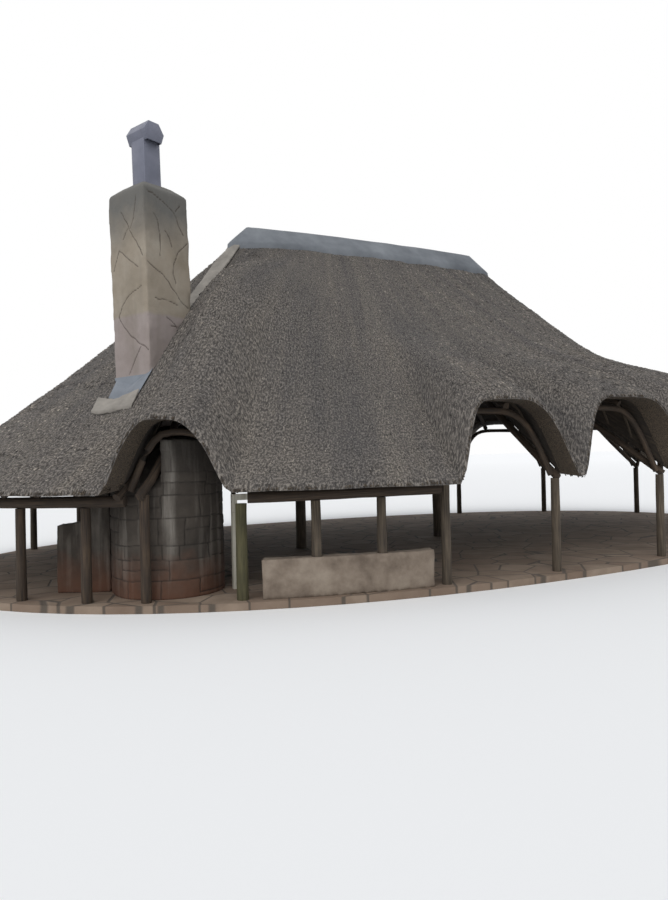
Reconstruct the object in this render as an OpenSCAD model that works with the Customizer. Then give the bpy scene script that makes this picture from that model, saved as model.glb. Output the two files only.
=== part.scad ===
// Oval thatched hut, open at the sides, with arched eaves and a plastered chimney.
// X runs along the ridge, Y to the back, Z up. The origin is on the ground, under
// the middle of the roof's outline. Angles are measured from +X: -90 is the front.

/* [Roof outline] */
// Length of the roof over the eaves
roof_length = 15000; // [14000:100:16500]
// Width of the roof over the eaves
roof_width = 8950; // [8400:50:10000]
// How far the ridge sits to the left of the middle
ridge_shift = 620; // [0:20:1000]
// How far the ridge sits to the front of the middle
ridge_forward = 125; // [0:25:250]
// Squareness of the oval: 2 is an ellipse
oval_power = 2.2; // [2:0.1:2.6]

/* [Roof heights] */
// Height of the thatch edge above the ground
eave_height = 1280; // [1150:10:1450]
// Height of the thatch at the ridge
ridge_height = 5220; // [4900:20:5600]
// Length of the ridge
ridge_length = 4300; // [3800:50:4800]
// Half the width of the flat strip under the ridge cap
ridge_half_width = 100; // [90:5:130]
// Hollowness of the slope: 0 is straight
sag = 0.15; // [0:0.01:0.2]
// Thickness of the thatch, measured straight down
thatch_drop = 260; // [200:10:300]

/* [Arched eaves] */
// Rise of the arch over the fireplace
hearth_arch_rise = 750; // [500:10:800]
// Rise of the first arch of the arcade
first_arch_rise = 950; // [700:10:1000]
// Rise of the other arches of the arcade
arch_rise = 1020; // [700:10:1050]
// Part of the rise that comes from cutting back into the slope
cut_back = 0.13; // [0.05:0.01:0.3]
// Part of the slope over which a raised arch dies away
arch_fade = 0.6; // [0.5:0.02:0.7]
// Rise of the swell of the thatch that sweeps up past the chimney
swell_rise = 850; // [0:10:900]

/* [Poles] */
// Distance of the post line inside the thatch edge
post_inset = 450; // [400:10:550]
// Radius of the dark edge posts
post_r = 55; // [45:1:65]
// Radius of the pale pole beside the fireplace
pale_post_r = 62; // [50:1:70]
// Radius of the two posts under the ridge
king_post_r = 80; // [70:1:90]
// Radius of the ridge pole
ridge_pole_r = 60; // [50:1:70]
// Radius of a rafter at its foot
rafter_r = 48; // [40:1:55]
// Radius of the pole under the thatch edge
eave_beam_r = 62; // [50:1:70]

/* [Fireplace] */
// Radius of the fireplace's round front
drum_r = 630; // [580:5:680]
// Distance of its middle inside the thatch edge
drum_inset = 1180; // [1100:10:1300]
// Height of its top
drum_height = 1800; // [1650:10:1850]
// Depth of the fire space
fire_depth = 800; // [700:10:900]
// Width of the fire opening
mouth_w = 700; // [600:10:760]
// Height of the fire opening
mouth_h = 650; // [550:10:750]
// Height of the hearth bed
hearth_height = 400; // [300:10:500]

/* [Chimney] */
// Distance of the stack's middle behind the middle of the round front
stack_behind = 700; // [600:10:720]
// Width of the square stack
stack_w = 670; // [620:5:700]
// Height of the top of the stack
stack_top = 4840; // [4600:10:5000]
// Turn of the stack about its middle
stack_turn = 27; // [20:1:35]
// Lean of the stack to the left
stack_lean = 1.2; // [0:0.1:1.5]
// Width of the smoke passage
smoke_w = 300; // [260:5:340]
// Height of the bevelled mortar top
crown_h = 110; // [80:5:140]
// Width of the sheet metal duct
duct_w = 245; // [220:5:280]
// Height of the duct's top
duct_top = 5590; // [5450:10:5700]
// Length of the duct's hood
hood_l = 360; // [320:5:420]
// Height of the duct's hood
hood_h = 240; // [200:5:280]

/* [Floor and low walls] */
// Thickness of the floor
floor_h = 80; // [60:5:120]
// Distance of the floor's edge inside the thatch edge
floor_inset = 260; // [200:10:350]
// Height of the low wall at the front
low_wall_h = 420; // [350:10:500]
// Thickness of the low wall
low_wall_t = 180; // [150:5:220]

/* [Hidden] */

// The ridge's middle and the reach of the eaves from it. The right end is cut back by an
// arch, so the roof is longest at the two legs beside it.
ridge_x = -ridge_shift;
ridge_y = -ridge_forward;
reach_left = roof_length / 2 - ridge_shift;
end_leg = 12;
reach_right = (roof_length / 2 + ridge_shift) / pow(cos(end_leg), 2 / oval_power);
reach_front = roof_width / 2 - ridge_forward;
reach_back = roof_width / 2 + ridge_forward;
span = ridge_height - eave_height;

// Stretches of the eave, by angle: start, end, rise, steps, and the arch's shape, which is two
// powers and the part of its width at which it is highest
arch_steps = 12;
arcade = [5, 1.6, 0.5];
hearth_arch = [3, 1.3, 0.38];
front_left = [
    [-155, -133.8, 0, 8, arcade],
    [-133.8, -120.7, hearth_arch_rise, arch_steps, hearth_arch],
    [-120.7, -99, 0, 8, arcade]
];
front_right = [
    [-99, -87.4, first_arch_rise, arch_steps, arcade],
    [-87.4, -73, arch_rise, arch_steps, arcade],
    [-73, -57, arch_rise, arch_steps, arcade],
    [-57, -37, arch_rise, arch_steps, arcade]
];
right_end = [
    [-37, -end_leg, arch_rise, arch_steps, arcade],
    [-end_leg, end_leg, arch_rise, arch_steps, arcade],
    [end_leg, 37, arch_rise, arch_steps, arcade]
];
back_right = [
    [37, 57, arch_rise, arch_steps, arcade],
    [57, 73, arch_rise, arch_steps, arcade],
    [73, 87.4, arch_rise, arch_steps, arcade],
    [87.4, 99, first_arch_rise, arch_steps, arcade]
];
back_left = [[99, 155, 0, 12, arcade]];
left_end = [[155, 205, 0, 10, arcade]];
all_stretches = concat(front_left, front_right, right_end, back_right, back_left, left_end);

// Curves of the roof
function signed_power(v, p) = sign(v) * pow(abs(v), p);
function ease(x) = let (c = max(0, min(1, x))) c * c * (3 - 2 * c);
function climb(s) = s - sag * s * (1 - s);
function arch_height(t, part) =
    let (top = part[0] + (part[1] - part[0]) * part[4][2],
         u = t < top ? (top - t) / (top - part[0]) : (t - top) / (part[1] - top))
    u < 1 ? part[2] * pow(1 - pow(u, part[4][0]), part[4][1]) : 0;
function rise_at(t) = max([for (part = all_stretches) arch_height(t, part)]);
function eave_xy(t, inset = 0) = [
    ridge_x + ((cos(t) > 0 ? reach_right : reach_left) - inset) * signed_power(cos(t), 2 / oval_power),
    ridge_y + ((sin(t) > 0 ? reach_back : reach_front) - inset) * signed_power(sin(t), 2 / oval_power)
];
ridge_power = 0.9;
function ridge_xy(t) = [
    ridge_x + ridge_length / 2 * signed_power(cos(t), ridge_power),
    ridge_y + ridge_half_width * signed_power(sin(t), ridge_power)
];
// Part of the slope at which the thatch starts, and the part its thickness takes at the edge
function foot(t) = cut_back * rise_at(t) / (span * (1 - sag));
edge_part = thatch_drop / (span * (1 - sag));
// The swell beside the chimney: its middle and reach by angle, and by part of the slope
swell_angle = -132.5;
swell_left = 12;
swell_right = 28;
swell_part = 0.5;
swell_below = 0.38;
swell_above = 0.42;
function bell(x) = let (c = min(1, abs(x))) pow(1 - c * c, 2);
function swell(t, s) = swell_rise
    * bell((t - swell_angle) / (t < swell_angle ? swell_left : swell_right))
    * bell((s - swell_part) / (s < swell_part ? swell_below : swell_above));
function roof_z(t, s) =
    eave_height + span * climb(s) + swell(t, s)
    + (1 - cut_back) * rise_at(t) * (1 - ease((s - foot(t)) / arch_fade));
function roof_point(t, s, down = 0) =
    let (e = eave_xy(t), r = ridge_xy(t))
    [e.x + (r.x - e.x) * s, e.y + (r.y - e.y) * s, roof_z(t, s) - down];
function plain_point(t, s, down = 0) =
    let (p = roof_point(t, s))
    [p.x, p.y, eave_height + span * climb(s) + swell(t, s) - down];
// Part of the slope that lies a distance inside the eave
function part_inside(t, d) = d / norm(ridge_xy(t) - eave_xy(t));

// The roof over a place of the plan: its angle is found by halving, on the front left side
function side_of(p, t) = cross(ridge_xy(t) - eave_xy(t), p - eave_xy(t));
function angle_over(p, low = -179, high = -91, times = 24) =
    let (middle = (low + high) / 2)
    times == 0 ? middle
    : sign(side_of(p, low)) != sign(side_of(p, middle)) ? angle_over(p, low, middle, times - 1)
    : angle_over(p, middle, high, times - 1);
function part_over(p, t) =
    let (slope = ridge_xy(t) - eave_xy(t))
    (p - eave_xy(t)) * slope / (slope * slope);
function roof_over(p) =
    let (t = angle_over(p))
    roof_z(t, part_over(p, t));

// Angles of the columns of a stretch: evenly on a plain one, a little closer at the legs of an arch
leg_crowding = 0.4;
function columns(part) = [
    for (k = [0 : part[3] - 1])
        let (u = k / part[3], v = (1 - cos(180 * u)) / 2, w = part[2] == 0 ? 0 : leg_crowding)
        part[0] + (part[1] - part[0]) * ((1 - w) * u + w * v)
];
function all_columns(parts) = concat(
    [for (part = parts) each columns(part)],
    [parts[len(parts) - 1][1]]
);

// A closed shell of thatch over some stretches of the eave
outer_rows = 9;
inner_rows = 7;
module thatch(parts) {
    ts = all_columns(parts);
    n = len(ts);
    no = outer_rows + 1;
    ni = inner_rows + 1;
    outer = [for (t = ts) for (j = [0 : outer_rows])
        roof_point(t, foot(t) + (1 - foot(t)) * j / outer_rows)];
    inner = [for (t = ts) for (j = [0 : inner_rows])
        let (s0 = foot(t) + edge_part)
        roof_point(t, s0 + (1 - s0) * j / inner_rows, thatch_drop)];
    function o(i, j) = i * no + j;
    function v(i, j) = n * no + i * ni + j;
    faces = concat(
        [for (i = [0 : n - 2]) for (j = [0 : outer_rows - 1])
            each [[o(i, j), o(i, j + 1), o(i + 1, j + 1)], [o(i, j), o(i + 1, j + 1), o(i + 1, j)]]],
        [for (i = [0 : n - 2]) for (j = [0 : inner_rows - 1])
            each [[v(i, j), v(i + 1, j), v(i + 1, j + 1)], [v(i, j), v(i + 1, j + 1), v(i, j + 1)]]],
        [for (i = [0 : n - 2])
            each [[o(i, 0), o(i + 1, 0), v(i + 1, 0)], [o(i, 0), v(i + 1, 0), v(i, 0)]]],
        [for (i = [0 : n - 2])
            let (a = o(i, outer_rows), b = o(i + 1, outer_rows), c = v(i, inner_rows), d = v(i + 1, inner_rows))
            each [[b, a, c], [b, c, d]]],
        [[for (j = [outer_rows : -1 : 0]) o(0, j), for (j = [0 : inner_rows]) v(0, j)]],
        [[for (j = [0 : outer_rows]) o(n - 1, j), for (j = [inner_rows : -1 : 0]) v(n - 1, j)]]
    );
    polyhedron(concat(outer, inner), faces);
}

// Places of the fireplace and the chimney: the fireplace keeps its distance from the eave, and
// the stack stands behind its round front
drum_angle = -133.2;
drum_xy = eave_xy(drum_angle, drum_inset);
stack_way = 88;
stack_xy = drum_xy + stack_behind * [cos(stack_way), sin(stack_way)];
lean_height = 2500;
stack_foot = 2000 - lean_height;
stack_h = stack_top - lean_height;
module at_stack() {
    translate([stack_xy.x, stack_xy.y, lean_height])
        rotate([0, -stack_lean, 0])
            rotate([0, 0, stack_turn])
                children();
}
module stack_block(w, h) {
    translate([-w / 2, -w / 2, 0])
        cube([w, w, h]);
}
module smoke_passage() {
    at_stack()
        translate([0, 0, -1500])
            stack_block(smoke_w, 1500 + stack_h + 1);
}
function beside_stack(p) =
    stack_xy + [p.x * cos(stack_turn) - p.y * sin(stack_turn), p.x * sin(stack_turn) + p.y * cos(stack_turn)];

// A pole swept along a path of points, with a radius that may taper
pole_sides = 6;
function unit(v) = v / norm(v);
function path_dir(path, i) = unit(path[min(i + 1, len(path) - 1)] - path[max(i - 1, 0)]);
module pole(path, r0, r1, sides = pole_sides) {
    m = len(path);
    rings = [for (i = [0 : m - 1])
        let (d = path_dir(path, i), side = unit(cross(d, [0, 0, 1])), up = cross(side, d),
             r = r0 + (r1 - r0) * i / (m - 1))
        for (k = [0 : sides - 1])
            path[i] + r * (cos(360 * k / sides) * side + sin(360 * k / sides) * up)];
    faces = concat(
        [[for (k = [0 : sides - 1]) k]],
        [[for (k = [sides - 1 : -1 : 0]) (m - 1) * sides + k]],
        [for (i = [0 : m - 2]) for (k = [0 : sides - 1])
            let (a = i * sides + k, b = i * sides + (k + 1) % sides)
            each [[a, a + sides, b + sides], [a, b + sides, b]]]
    );
    polyhedron(rings, faces);
}

// Rafters: each follows the underside from the post line towards the ridge
rafter_steps = 5;
rafter_drop = rafter_r * 1.3 + 22;
stack_reach = stack_w * 0.71 + rafter_r;
function meets_stack(t) =
    t < -91 && t > -179 && abs(side_of(stack_xy, t)) < stack_reach * norm(ridge_xy(t) - eave_xy(t));
function rafter_top(t, i) =
    meets_stack(t) ? part_over(stack_xy, t) - part_inside(t, stack_reach)
    : abs(cos(t)) > 0.75 ? (i % 2 == 0 ? 0.9 : 0.68)
    : 0.96;
function rafter_path(t, i) =
    let (s0 = foot(t) + part_inside(t, post_inset) * 0.9, s1 = rafter_top(t, i))
    [for (k = [0 : rafter_steps])
        let (s = s0 + (s1 - s0) * k / rafter_steps) roof_point(t, s, thatch_drop + rafter_drop)];
module rafters(angles) {
    for (i = [0 : len(angles) - 1])
        pole(rafter_path(angles[i], i), rafter_r, rafter_r * 0.8);
}
// Rafters under the arch over the fireplace keep the height of the plain slope
module level_rafters(angles) {
    for (t = angles) {
        s0 = part_inside(t, post_inset) * 0.8;
        s1 = meets_stack(t) ? rafter_top(t, 0) : 0.96;
        pole([for (k = [0 : rafter_steps]) plain_point(t, s0 + (s1 - s0) * k / rafter_steps,
            thatch_drop + rafter_drop)], rafter_r, rafter_r * 0.8);
    }
}
// Rafters of an arched stretch: one at the leg and two over the arch
function arch_rafters(parts) = [
    for (part = parts) for (k = [0 : 2])
        part[0] + (part[1] - part[0]) * k / 3
];
function even_angles(from, to, count) = [for (k = [0 : count - 1]) from + (to - from) * (k + 0.5) / count];

// A rib bent over an arch, from post to post, and the pole under a plain stretch of eave
rib_r = 40;
rib_reach = 0.95;
rib_drop = rafter_drop + rafter_r + rib_r;
module arch_rib(part) {
    inner = [for (k = [0 : 12]) (part[0] + part[1]) / 2 - (part[1] - part[0]) / 2 * rib_reach * cos(180 * k / 12)];
    path = [for (t = inner) roof_point(t, foot(t) + part_inside(t, post_inset), thatch_drop + rib_drop)];
    pole(path, rib_r, rib_r);
}
beam_drop = rafter_drop + rafter_r + eave_beam_r;
function eave_line(t, down) =
    let (s = part_inside(t, post_inset), p = roof_point(t, s))
    [p.x, p.y, eave_height + span * climb(s) - thatch_drop - down];
module eave_beam(from, to, steps) {
    path = [for (k = [0 : steps]) eave_line(from + (to - from) * k / steps, beam_drop)];
    pole(path, eave_beam_r, eave_beam_r, 8);
}
// An upright post, under the eave pole unless told otherwise
module post(t, r, down = beam_drop + eave_beam_r) {
    p = eave_line(t, down);
    translate([p.x, p.y, floor_h])
        cylinder(h = p.z - floor_h, r = r, $fn = 24);
}
module posts(angles, r) {
    for (t = angles)
        post(t, r);
}
// A post at a leg of the arcade carries the rafter over it
module arcade_posts(angles) {
    for (t = angles)
        post(t, post_r, rafter_drop + rafter_r);
}

// A pad that lies on the roof between four corners, each a place of the plan beside the stack
pad_n = 4;
function pad_at(c, u, v) =
    (1 - u) * (1 - v) * c[0] + u * (1 - v) * c[1] + u * v * c[2] + (1 - u) * v * c[3];
module roof_pad(c, under, over) {
    w = pad_n + 1;
    pts = [for (h = [under, over]) for (i = [0 : pad_n]) for (j = [0 : pad_n])
        let (p = beside_stack(pad_at(c, i / pad_n, j / pad_n))) [p.x, p.y, roof_over(p) + h]];
    function a(i, j) = i * w + j;
    function b(i, j) = w * w + i * w + j;
    faces = concat(
        [for (i = [0 : pad_n - 1]) for (j = [0 : pad_n - 1])
            each [[b(i, j), b(i, j + 1), b(i + 1, j + 1)], [b(i, j), b(i + 1, j + 1), b(i + 1, j)]]],
        [for (i = [0 : pad_n - 1]) for (j = [0 : pad_n - 1])
            each [[a(i, j), a(i + 1, j), a(i + 1, j + 1)], [a(i, j), a(i + 1, j + 1), a(i, j + 1)]]],
        [for (i = [0 : pad_n - 1])
            each [[a(i, 0), b(i, 0), b(i + 1, 0)], [a(i, 0), b(i + 1, 0), a(i + 1, 0)]]],
        [for (i = [0 : pad_n - 1])
            each [[a(i, pad_n), b(i + 1, pad_n), b(i, pad_n)], [a(i, pad_n), a(i + 1, pad_n), b(i + 1, pad_n)]]],
        [for (j = [0 : pad_n - 1])
            each [[a(0, j), b(0, j + 1), b(0, j)], [a(0, j), a(0, j + 1), b(0, j + 1)]]],
        [for (j = [0 : pad_n - 1])
            each [[a(pad_n, j), b(pad_n, j), b(pad_n, j + 1)], [a(pad_n, j), b(pad_n, j + 1), a(pad_n, j + 1)]]]
    );
    polyhedron(pts, faces);
}

// Floor and low wall
module floor_slab() {
    color([0.60, 0.54, 0.48])
        linear_extrude(height = floor_h)
            polygon([for (t = [0 : 5 : 355]) eave_xy(t, floor_inset)]);
}
low_wall_from = -118.5;
low_wall_to = -100.5;
low_wall_steps = 5;
module front_low_wall() {
    angles = [for (k = [0 : low_wall_steps])
        low_wall_from + (low_wall_to - low_wall_from) * k / low_wall_steps];
    color([0.62, 0.58, 0.52])
        difference() {
            translate([0, 0, floor_h])
                linear_extrude(height = low_wall_h)
                    polygon(concat(
                        [for (t = angles) eave_xy(t, post_inset - low_wall_t / 2)],
                        [for (k = [low_wall_steps : -1 : 0])
                            eave_xy(angles[k], post_inset + low_wall_t / 2)]
                    ));
            posts(front_posts, post_r);
        }
}

// Thatch
thatch_grey = [0.52, 0.49, 0.45];
module stack_hole() {
    at_stack()
        translate([0, 0, stack_foot])
            stack_block(stack_w, stack_h);
}
module thatch_front_left() {
    color(thatch_grey)
        difference() {
            thatch(front_left);
            stack_hole();
        }
}
module thatch_front_right() {
    color(thatch_grey)
        thatch(front_right);
}
module thatch_right_end() {
    color(thatch_grey)
        thatch(right_end);
}
module thatch_back_right() {
    color(thatch_grey)
        thatch(back_right);
}
module thatch_back_left() {
    color(thatch_grey)
        thatch(back_left);
}
module thatch_left_end() {
    color(thatch_grey)
        thatch(left_end);
}

// Ridge cap: a thin shell over the top of the thatch, closed across the ridge
cap_t = 35;
cap_clear = 5;
cap_part = 0.93;
cap_rows = 2;
cap_columns = 64;
module ridge_cap() {
    w = cap_rows + 1;
    pts = [for (h = [cap_clear, cap_clear + cap_t]) for (i = [0 : cap_columns - 1]) for (j = [0 : cap_rows])
        roof_point(360 * i / cap_columns - 180, cap_part + (1 - cap_part) * j / cap_rows, -h)];
    function a(i, j) = (i % cap_columns) * w + j;
    function b(i, j) = (cap_columns + i % cap_columns) * w + j;
    all = [0 : cap_columns - 1];
    faces = concat(
        [for (i = all) for (j = [0 : cap_rows - 1])
            each [[b(i, j), b(i, j + 1), b(i + 1, j + 1)], [b(i, j), b(i + 1, j + 1), b(i + 1, j)]]],
        [for (i = all) for (j = [0 : cap_rows - 1])
            each [[a(i, j), a(i + 1, j), a(i + 1, j + 1)], [a(i, j), a(i + 1, j + 1), a(i, j + 1)]]],
        [for (i = all) each [[a(i, 0), b(i, 0), b(i + 1, 0)], [a(i, 0), b(i + 1, 0), a(i + 1, 0)]]],
        [[for (i = [cap_columns - 1 : -1 : 0]) b(i, cap_rows)]],
        [[for (i = all) a(i, cap_rows)]]
    );
    color([0.46, 0.50, 0.53])
        polyhedron(pts, faces);
}

// Ridge pole and its two posts
ridge_pole_l = ridge_length - 600;
ridge_pole_z = ridge_height - 150;
king_post_in = 500;
module ridge_pole() {
    color([0.42, 0.34, 0.26])
        translate([ridge_x - ridge_pole_l / 2, ridge_y, ridge_pole_z])
            rotate([0, 90, 0])
                cylinder(h = ridge_pole_l, r = ridge_pole_r, $fn = 32);
}
module king_posts() {
    color([0.40, 0.33, 0.26])
        for (side = [-1, 1])
            translate([ridge_x + side * (ridge_pole_l / 2 - king_post_in), ridge_y, floor_h])
                cylinder(h = ridge_pole_z - ridge_pole_r - floor_h, r = king_post_r, $fn = 32);
}

// Rafters
pole_brown = [0.36, 0.30, 0.24];
module rafters_front_left() {
    color(pole_brown)
        rafters([-152, -146, -140, -126.5, -121.5, -116, -110.5, -105]);
    color(pole_brown)
        level_rafters([-134.4, -131.7]);
}
module rafters_front_right() {
    color(pole_brown)
        rafters(arch_rafters(front_right));
}
module rafters_right_end() {
    color(pole_brown)
        rafters(arch_rafters(right_end));
}
module rafters_back_right() {
    color(pole_brown)
        rafters(arch_rafters(back_right));
}
module rafters_back_left() {
    color(pole_brown)
        rafters(even_angles(99, 155, 10));
}
module rafters_left_end() {
    color(pole_brown)
        rafters(even_angles(155, 205, 8));
}

// Ribs over the arches and poles under the plain eave
module arch_ribs_front() {
    color(pole_brown)
        for (part = front_right)
            arch_rib(part);
}
module arch_ribs_right() {
    color(pole_brown)
        for (part = right_end)
            arch_rib(part);
}
module arch_ribs_back() {
    color(pole_brown)
        for (part = back_right)
            arch_rib(part);
}
module hearth_arch_rib() {
    color(pole_brown)
        arch_rib(front_left[1]);
}
module eave_beam_front() {
    color(pole_brown)
        eave_beam(-120.2, -99.6, 6);
}
module eave_beam_left() {
    color(pole_brown)
        eave_beam(-205, -134, 14);
}
module eave_beam_back() {
    color(pole_brown)
        eave_beam(99.6, 154.6, 12);
}

// Posts
module hearth_posts() {
    color([0.45, 0.38, 0.31])
        post(-131.7, post_r, rafter_drop + rafter_r);
    color([0.62, 0.58, 0.40])
        post(-120.9, pale_post_r);
}
front_posts = [-113, -106];
module posts_front() {
    color([0.42, 0.36, 0.30])
        posts(front_posts, post_r);
}
module posts_left() {
    color([0.34, 0.29, 0.24])
        posts([-139.2, -149.3, -160, -171, 178, 167], post_r);
}
module posts_back() {
    color([0.38, 0.32, 0.26])
        posts([155, 143.5, 132, 120.5, 109.5], post_r);
}
module arcade_posts_front() {
    color([0.38, 0.32, 0.26])
        arcade_posts([-99, -87.4, -73, -57]);
}
module arcade_posts_right() {
    color([0.38, 0.32, 0.26])
        arcade_posts([-37, -end_leg, end_leg, 37]);
}
module arcade_posts_back() {
    color([0.38, 0.32, 0.26])
        arcade_posts([57, 73, 87.4, 99]);
}

// Fireplace: round in front and square behind, under the stack. Its fire opening faces inside.
body_l = stack_behind + stack_w * 0.6;
module fireplace_block(z, h) {
    translate([drum_xy.x, drum_xy.y, z])
        rotate([0, 0, stack_way]) {
            cylinder(h = h, r = drum_r, $fn = 64);
            translate([0, -drum_r, 0])
                cube([body_l, 2 * drum_r, h]);
        }
}
// The space taken up by the rafters over the fireplace's left side: above a plane that lies
// under them, and left of a line beside the last one
rafter_depth = thatch_drop + rafter_drop + rafter_r + 30;
notch_angle = -130.5;
past_block = drum_height + 2 * (drum_r + body_l);
function rim_point(a) = drum_xy + drum_r * [cos(a), sin(a)];
function under_rafters(p) =
    let (t = angle_over(p))
    [p.x, p.y, eave_height + span * climb(part_over(p, t)) - rafter_depth];
module rafter_space() {
    a = under_rafters(rim_point(150));
    b = under_rafters(rim_point(215));
    c = under_rafters(rim_point(290));
    u = b - a;
    v = c - a;
    det = u.x * v.y - v.x * u.y;
    slope = [(u.z * v.y - v.z * u.y) / det, (u.x * v.z - v.x * u.z) / det];
    edge = eave_xy(notch_angle);
    way = ridge_xy(notch_angle) - edge;
    intersection() {
        translate(a)
            rotate([0, 0, atan2(slope.y, slope.x)])
                rotate([0, -atan(norm(slope)), 0])
                    translate([-past_block, -past_block, 0])
                        cube([2 * past_block, 2 * past_block, past_block]);
        translate([edge.x, edge.y, 0])
            rotate([0, 0, atan2(way.y, way.x)])
                translate([-past_block, 0, 0])
                    cube([2 * past_block, past_block, past_block]);
    }
}
module fireplace_drum() {
    color([0.58, 0.54, 0.50])
        difference() {
            fireplace_block(floor_h, drum_height - floor_h);
            translate([drum_xy.x, drum_xy.y, floor_h + hearth_height])
                rotate([0, 0, stack_way])
                    translate([body_l - fire_depth, -mouth_w / 2, 0])
                        cube([fire_depth + 1, mouth_w, mouth_h]);
            smoke_passage();
            rafter_space();
        }
}
side_wall_t = 200;
side_wall_l = 900;
side_wall_h = 1180;
side_wall_low = 780;
side_wall_way = 153;
module hearth_side_wall() {
    start = drum_xy + [-drum_r * 0.62, 60];
    color([0.55, 0.50, 0.46])
        difference() {
            translate([start.x, start.y, floor_h])
                rotate([0, 0, side_wall_way])
                    rotate([90, 0, 0])
                        linear_extrude(height = side_wall_t)
                            polygon([
                                [0, 0], [side_wall_l, 0], [side_wall_l, side_wall_low],
                                [side_wall_l * 0.66, side_wall_low * 1.06],
                                [side_wall_l * 0.56, side_wall_h * 0.9],
                                [side_wall_l * 0.44, side_wall_h], [0, side_wall_h]
                            ]);
            fireplace_block(0, drum_height);
        }
}
// Sloping shoulders between the fireplace and the foot of the stack, levelled off there
hood_spare = 2;
module smoke_hood() {
    color([0.52, 0.49, 0.46])
        difference() {
            hull() {
                fireplace_block(drum_height, 1);
                at_stack()
                    translate([0, 0, stack_foot - 1])
                        stack_block(stack_w, 1 + hood_spare);
            }
            at_stack()
                translate([0, 0, stack_foot])
                    stack_block(2 * stack_w, stack_w);
            smoke_passage();
            rafter_space();
        }
}

// Chimney
module chimney_stack() {
    color([0.74, 0.70, 0.62])
        difference() {
            at_stack()
                translate([0, 0, stack_foot])
                    stack_block(stack_w, stack_h - stack_foot);
            smoke_passage();
        }
}
module chimney_crown() {
    color([0.50, 0.49, 0.46])
        at_stack()
            translate([0, 0, stack_h])
                difference() {
                    linear_extrude(height = crown_h, scale = 0.62)
                        square(stack_w, center = true);
                    translate([0, 0, -1])
                        stack_block(duct_w, crown_h + 2);
                }
}
duct_t = 8;
duct_h = duct_top - stack_top;
module flue_duct() {
    color([0.42, 0.44, 0.52])
        at_stack()
            translate([0, 0, stack_h])
                difference() {
                    stack_block(duct_w, duct_h);
                    translate([0, 0, -1])
                        stack_block(duct_w - 2 * duct_t, duct_h + 2);
                }
}
// Hood: a six-sided barrel that lies across the duct, open below
hood_w = duct_w + 65;
hood_t = 8;
hood_down = 40;
module hood_outline(shrink) {
    polygon([
        [-hood_w * 0.36 + shrink, 0], [hood_w * 0.36 - shrink, 0],
        [hood_w / 2 - shrink, hood_h * 0.5],
        [hood_w * 0.25, hood_h - shrink], [-hood_w * 0.25, hood_h - shrink],
        [-hood_w / 2 + shrink, hood_h * 0.5]
    ]);
}
module flue_hood() {
    color([0.40, 0.42, 0.50])
        at_stack()
            translate([0, 0, stack_h + duct_h - hood_down])
                rotate([90, 0, 0])
                    difference() {
                        translate([0, 0, -hood_l / 2])
                            linear_extrude(height = hood_l)
                                hood_outline(0);
                        translate([0, 0, -hood_l / 2 + hood_t])
                            linear_extrude(height = hood_l - 2 * hood_t)
                                translate([0, -1])
                                    hood_outline(hood_t);
                    }
}
// Sheet metal at the stack's foot: a tray on the thatch and an upstand against the stack. The
// corners of these pads reach into the stack, which is then cut out of them.
half_w = stack_w / 2;
tray_l = 345;
upstand_h = 110;
upstand_t = 12;
in_stack = 35;
module chimney_flashing() {
    color([0.55, 0.60, 0.66])
        difference() {
            union() {
                roof_pad([[-half_w - tray_l, half_w - 15], [-half_w - tray_l * 0.6, -half_w + 35],
                          [-half_w + in_stack, -half_w + 35], [-half_w + in_stack, half_w - 15]], 2, 14);
                roof_pad([[-half_w - upstand_t, half_w - 15], [-half_w - upstand_t, -half_w + 35],
                          [-half_w + in_stack, -half_w + 35], [-half_w + in_stack, half_w - 15]], 2, upstand_h);
            }
            stack_hole();
        }
}
module mortar_scoop() {
    color([0.72, 0.67, 0.56])
        roof_pad([[-half_w - tray_l - 200, half_w - 130], [-half_w - tray_l * 0.6 - 180, -half_w - 30],
                  [-half_w - tray_l * 0.6 - 12, -half_w + 35], [-half_w - tray_l - 12, half_w - 15]], 0, 50);
}
module chimney_saddle() {
    color([0.74, 0.69, 0.58])
        difference() {
            roof_pad([[-half_w + 100, half_w - in_stack], [half_w + 60, half_w - in_stack],
                      [half_w + 1700, half_w + 230], [half_w + 1620, half_w + 480]], 0, 50);
            stack_hole();
        }
}

// Pale timber frame between the fireplace and the pale pole: a jamb and a rail
frame_w = 60;
jamb_h = 1090;
rail_l = 330;
rail_h = 70;
module hatch_frame() {
    color([0.78, 0.76, 0.70])
        translate([drum_xy.x + drum_r + 10, drum_xy.y - drum_r * 0.67, floor_h]) {
            cube([frame_w, frame_w, jamb_h]);
            translate([frame_w, 0, jamb_h - rail_h])
                cube([rail_l, frame_w, rail_h]);
        }
}

floor_slab();
front_low_wall();
thatch_front_left();
thatch_front_right();
thatch_right_end();
thatch_back_right();
thatch_back_left();
thatch_left_end();
ridge_cap();
ridge_pole();
king_posts();
rafters_front_left();
rafters_front_right();
rafters_right_end();
rafters_back_right();
rafters_back_left();
rafters_left_end();
arch_ribs_front();
arch_ribs_right();
arch_ribs_back();
hearth_arch_rib();
eave_beam_front();
eave_beam_left();
eave_beam_back();
hearth_posts();
posts_front();
posts_left();
posts_back();
arcade_posts_front();
arcade_posts_right();
arcade_posts_back();
fireplace_drum();
hearth_side_wall();
smoke_hood();
chimney_stack();
chimney_crown();
flue_duct();
flue_hood();
chimney_flashing();
mortar_scoop();
chimney_saddle();
hatch_frame();
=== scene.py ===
"""The looks of an oval thatched hut: reeds, gum poles, carved plaster, mortar and sheet metal."""
import math

import bpy
import numpy as np
from mathutils import Matrix, Vector


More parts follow.
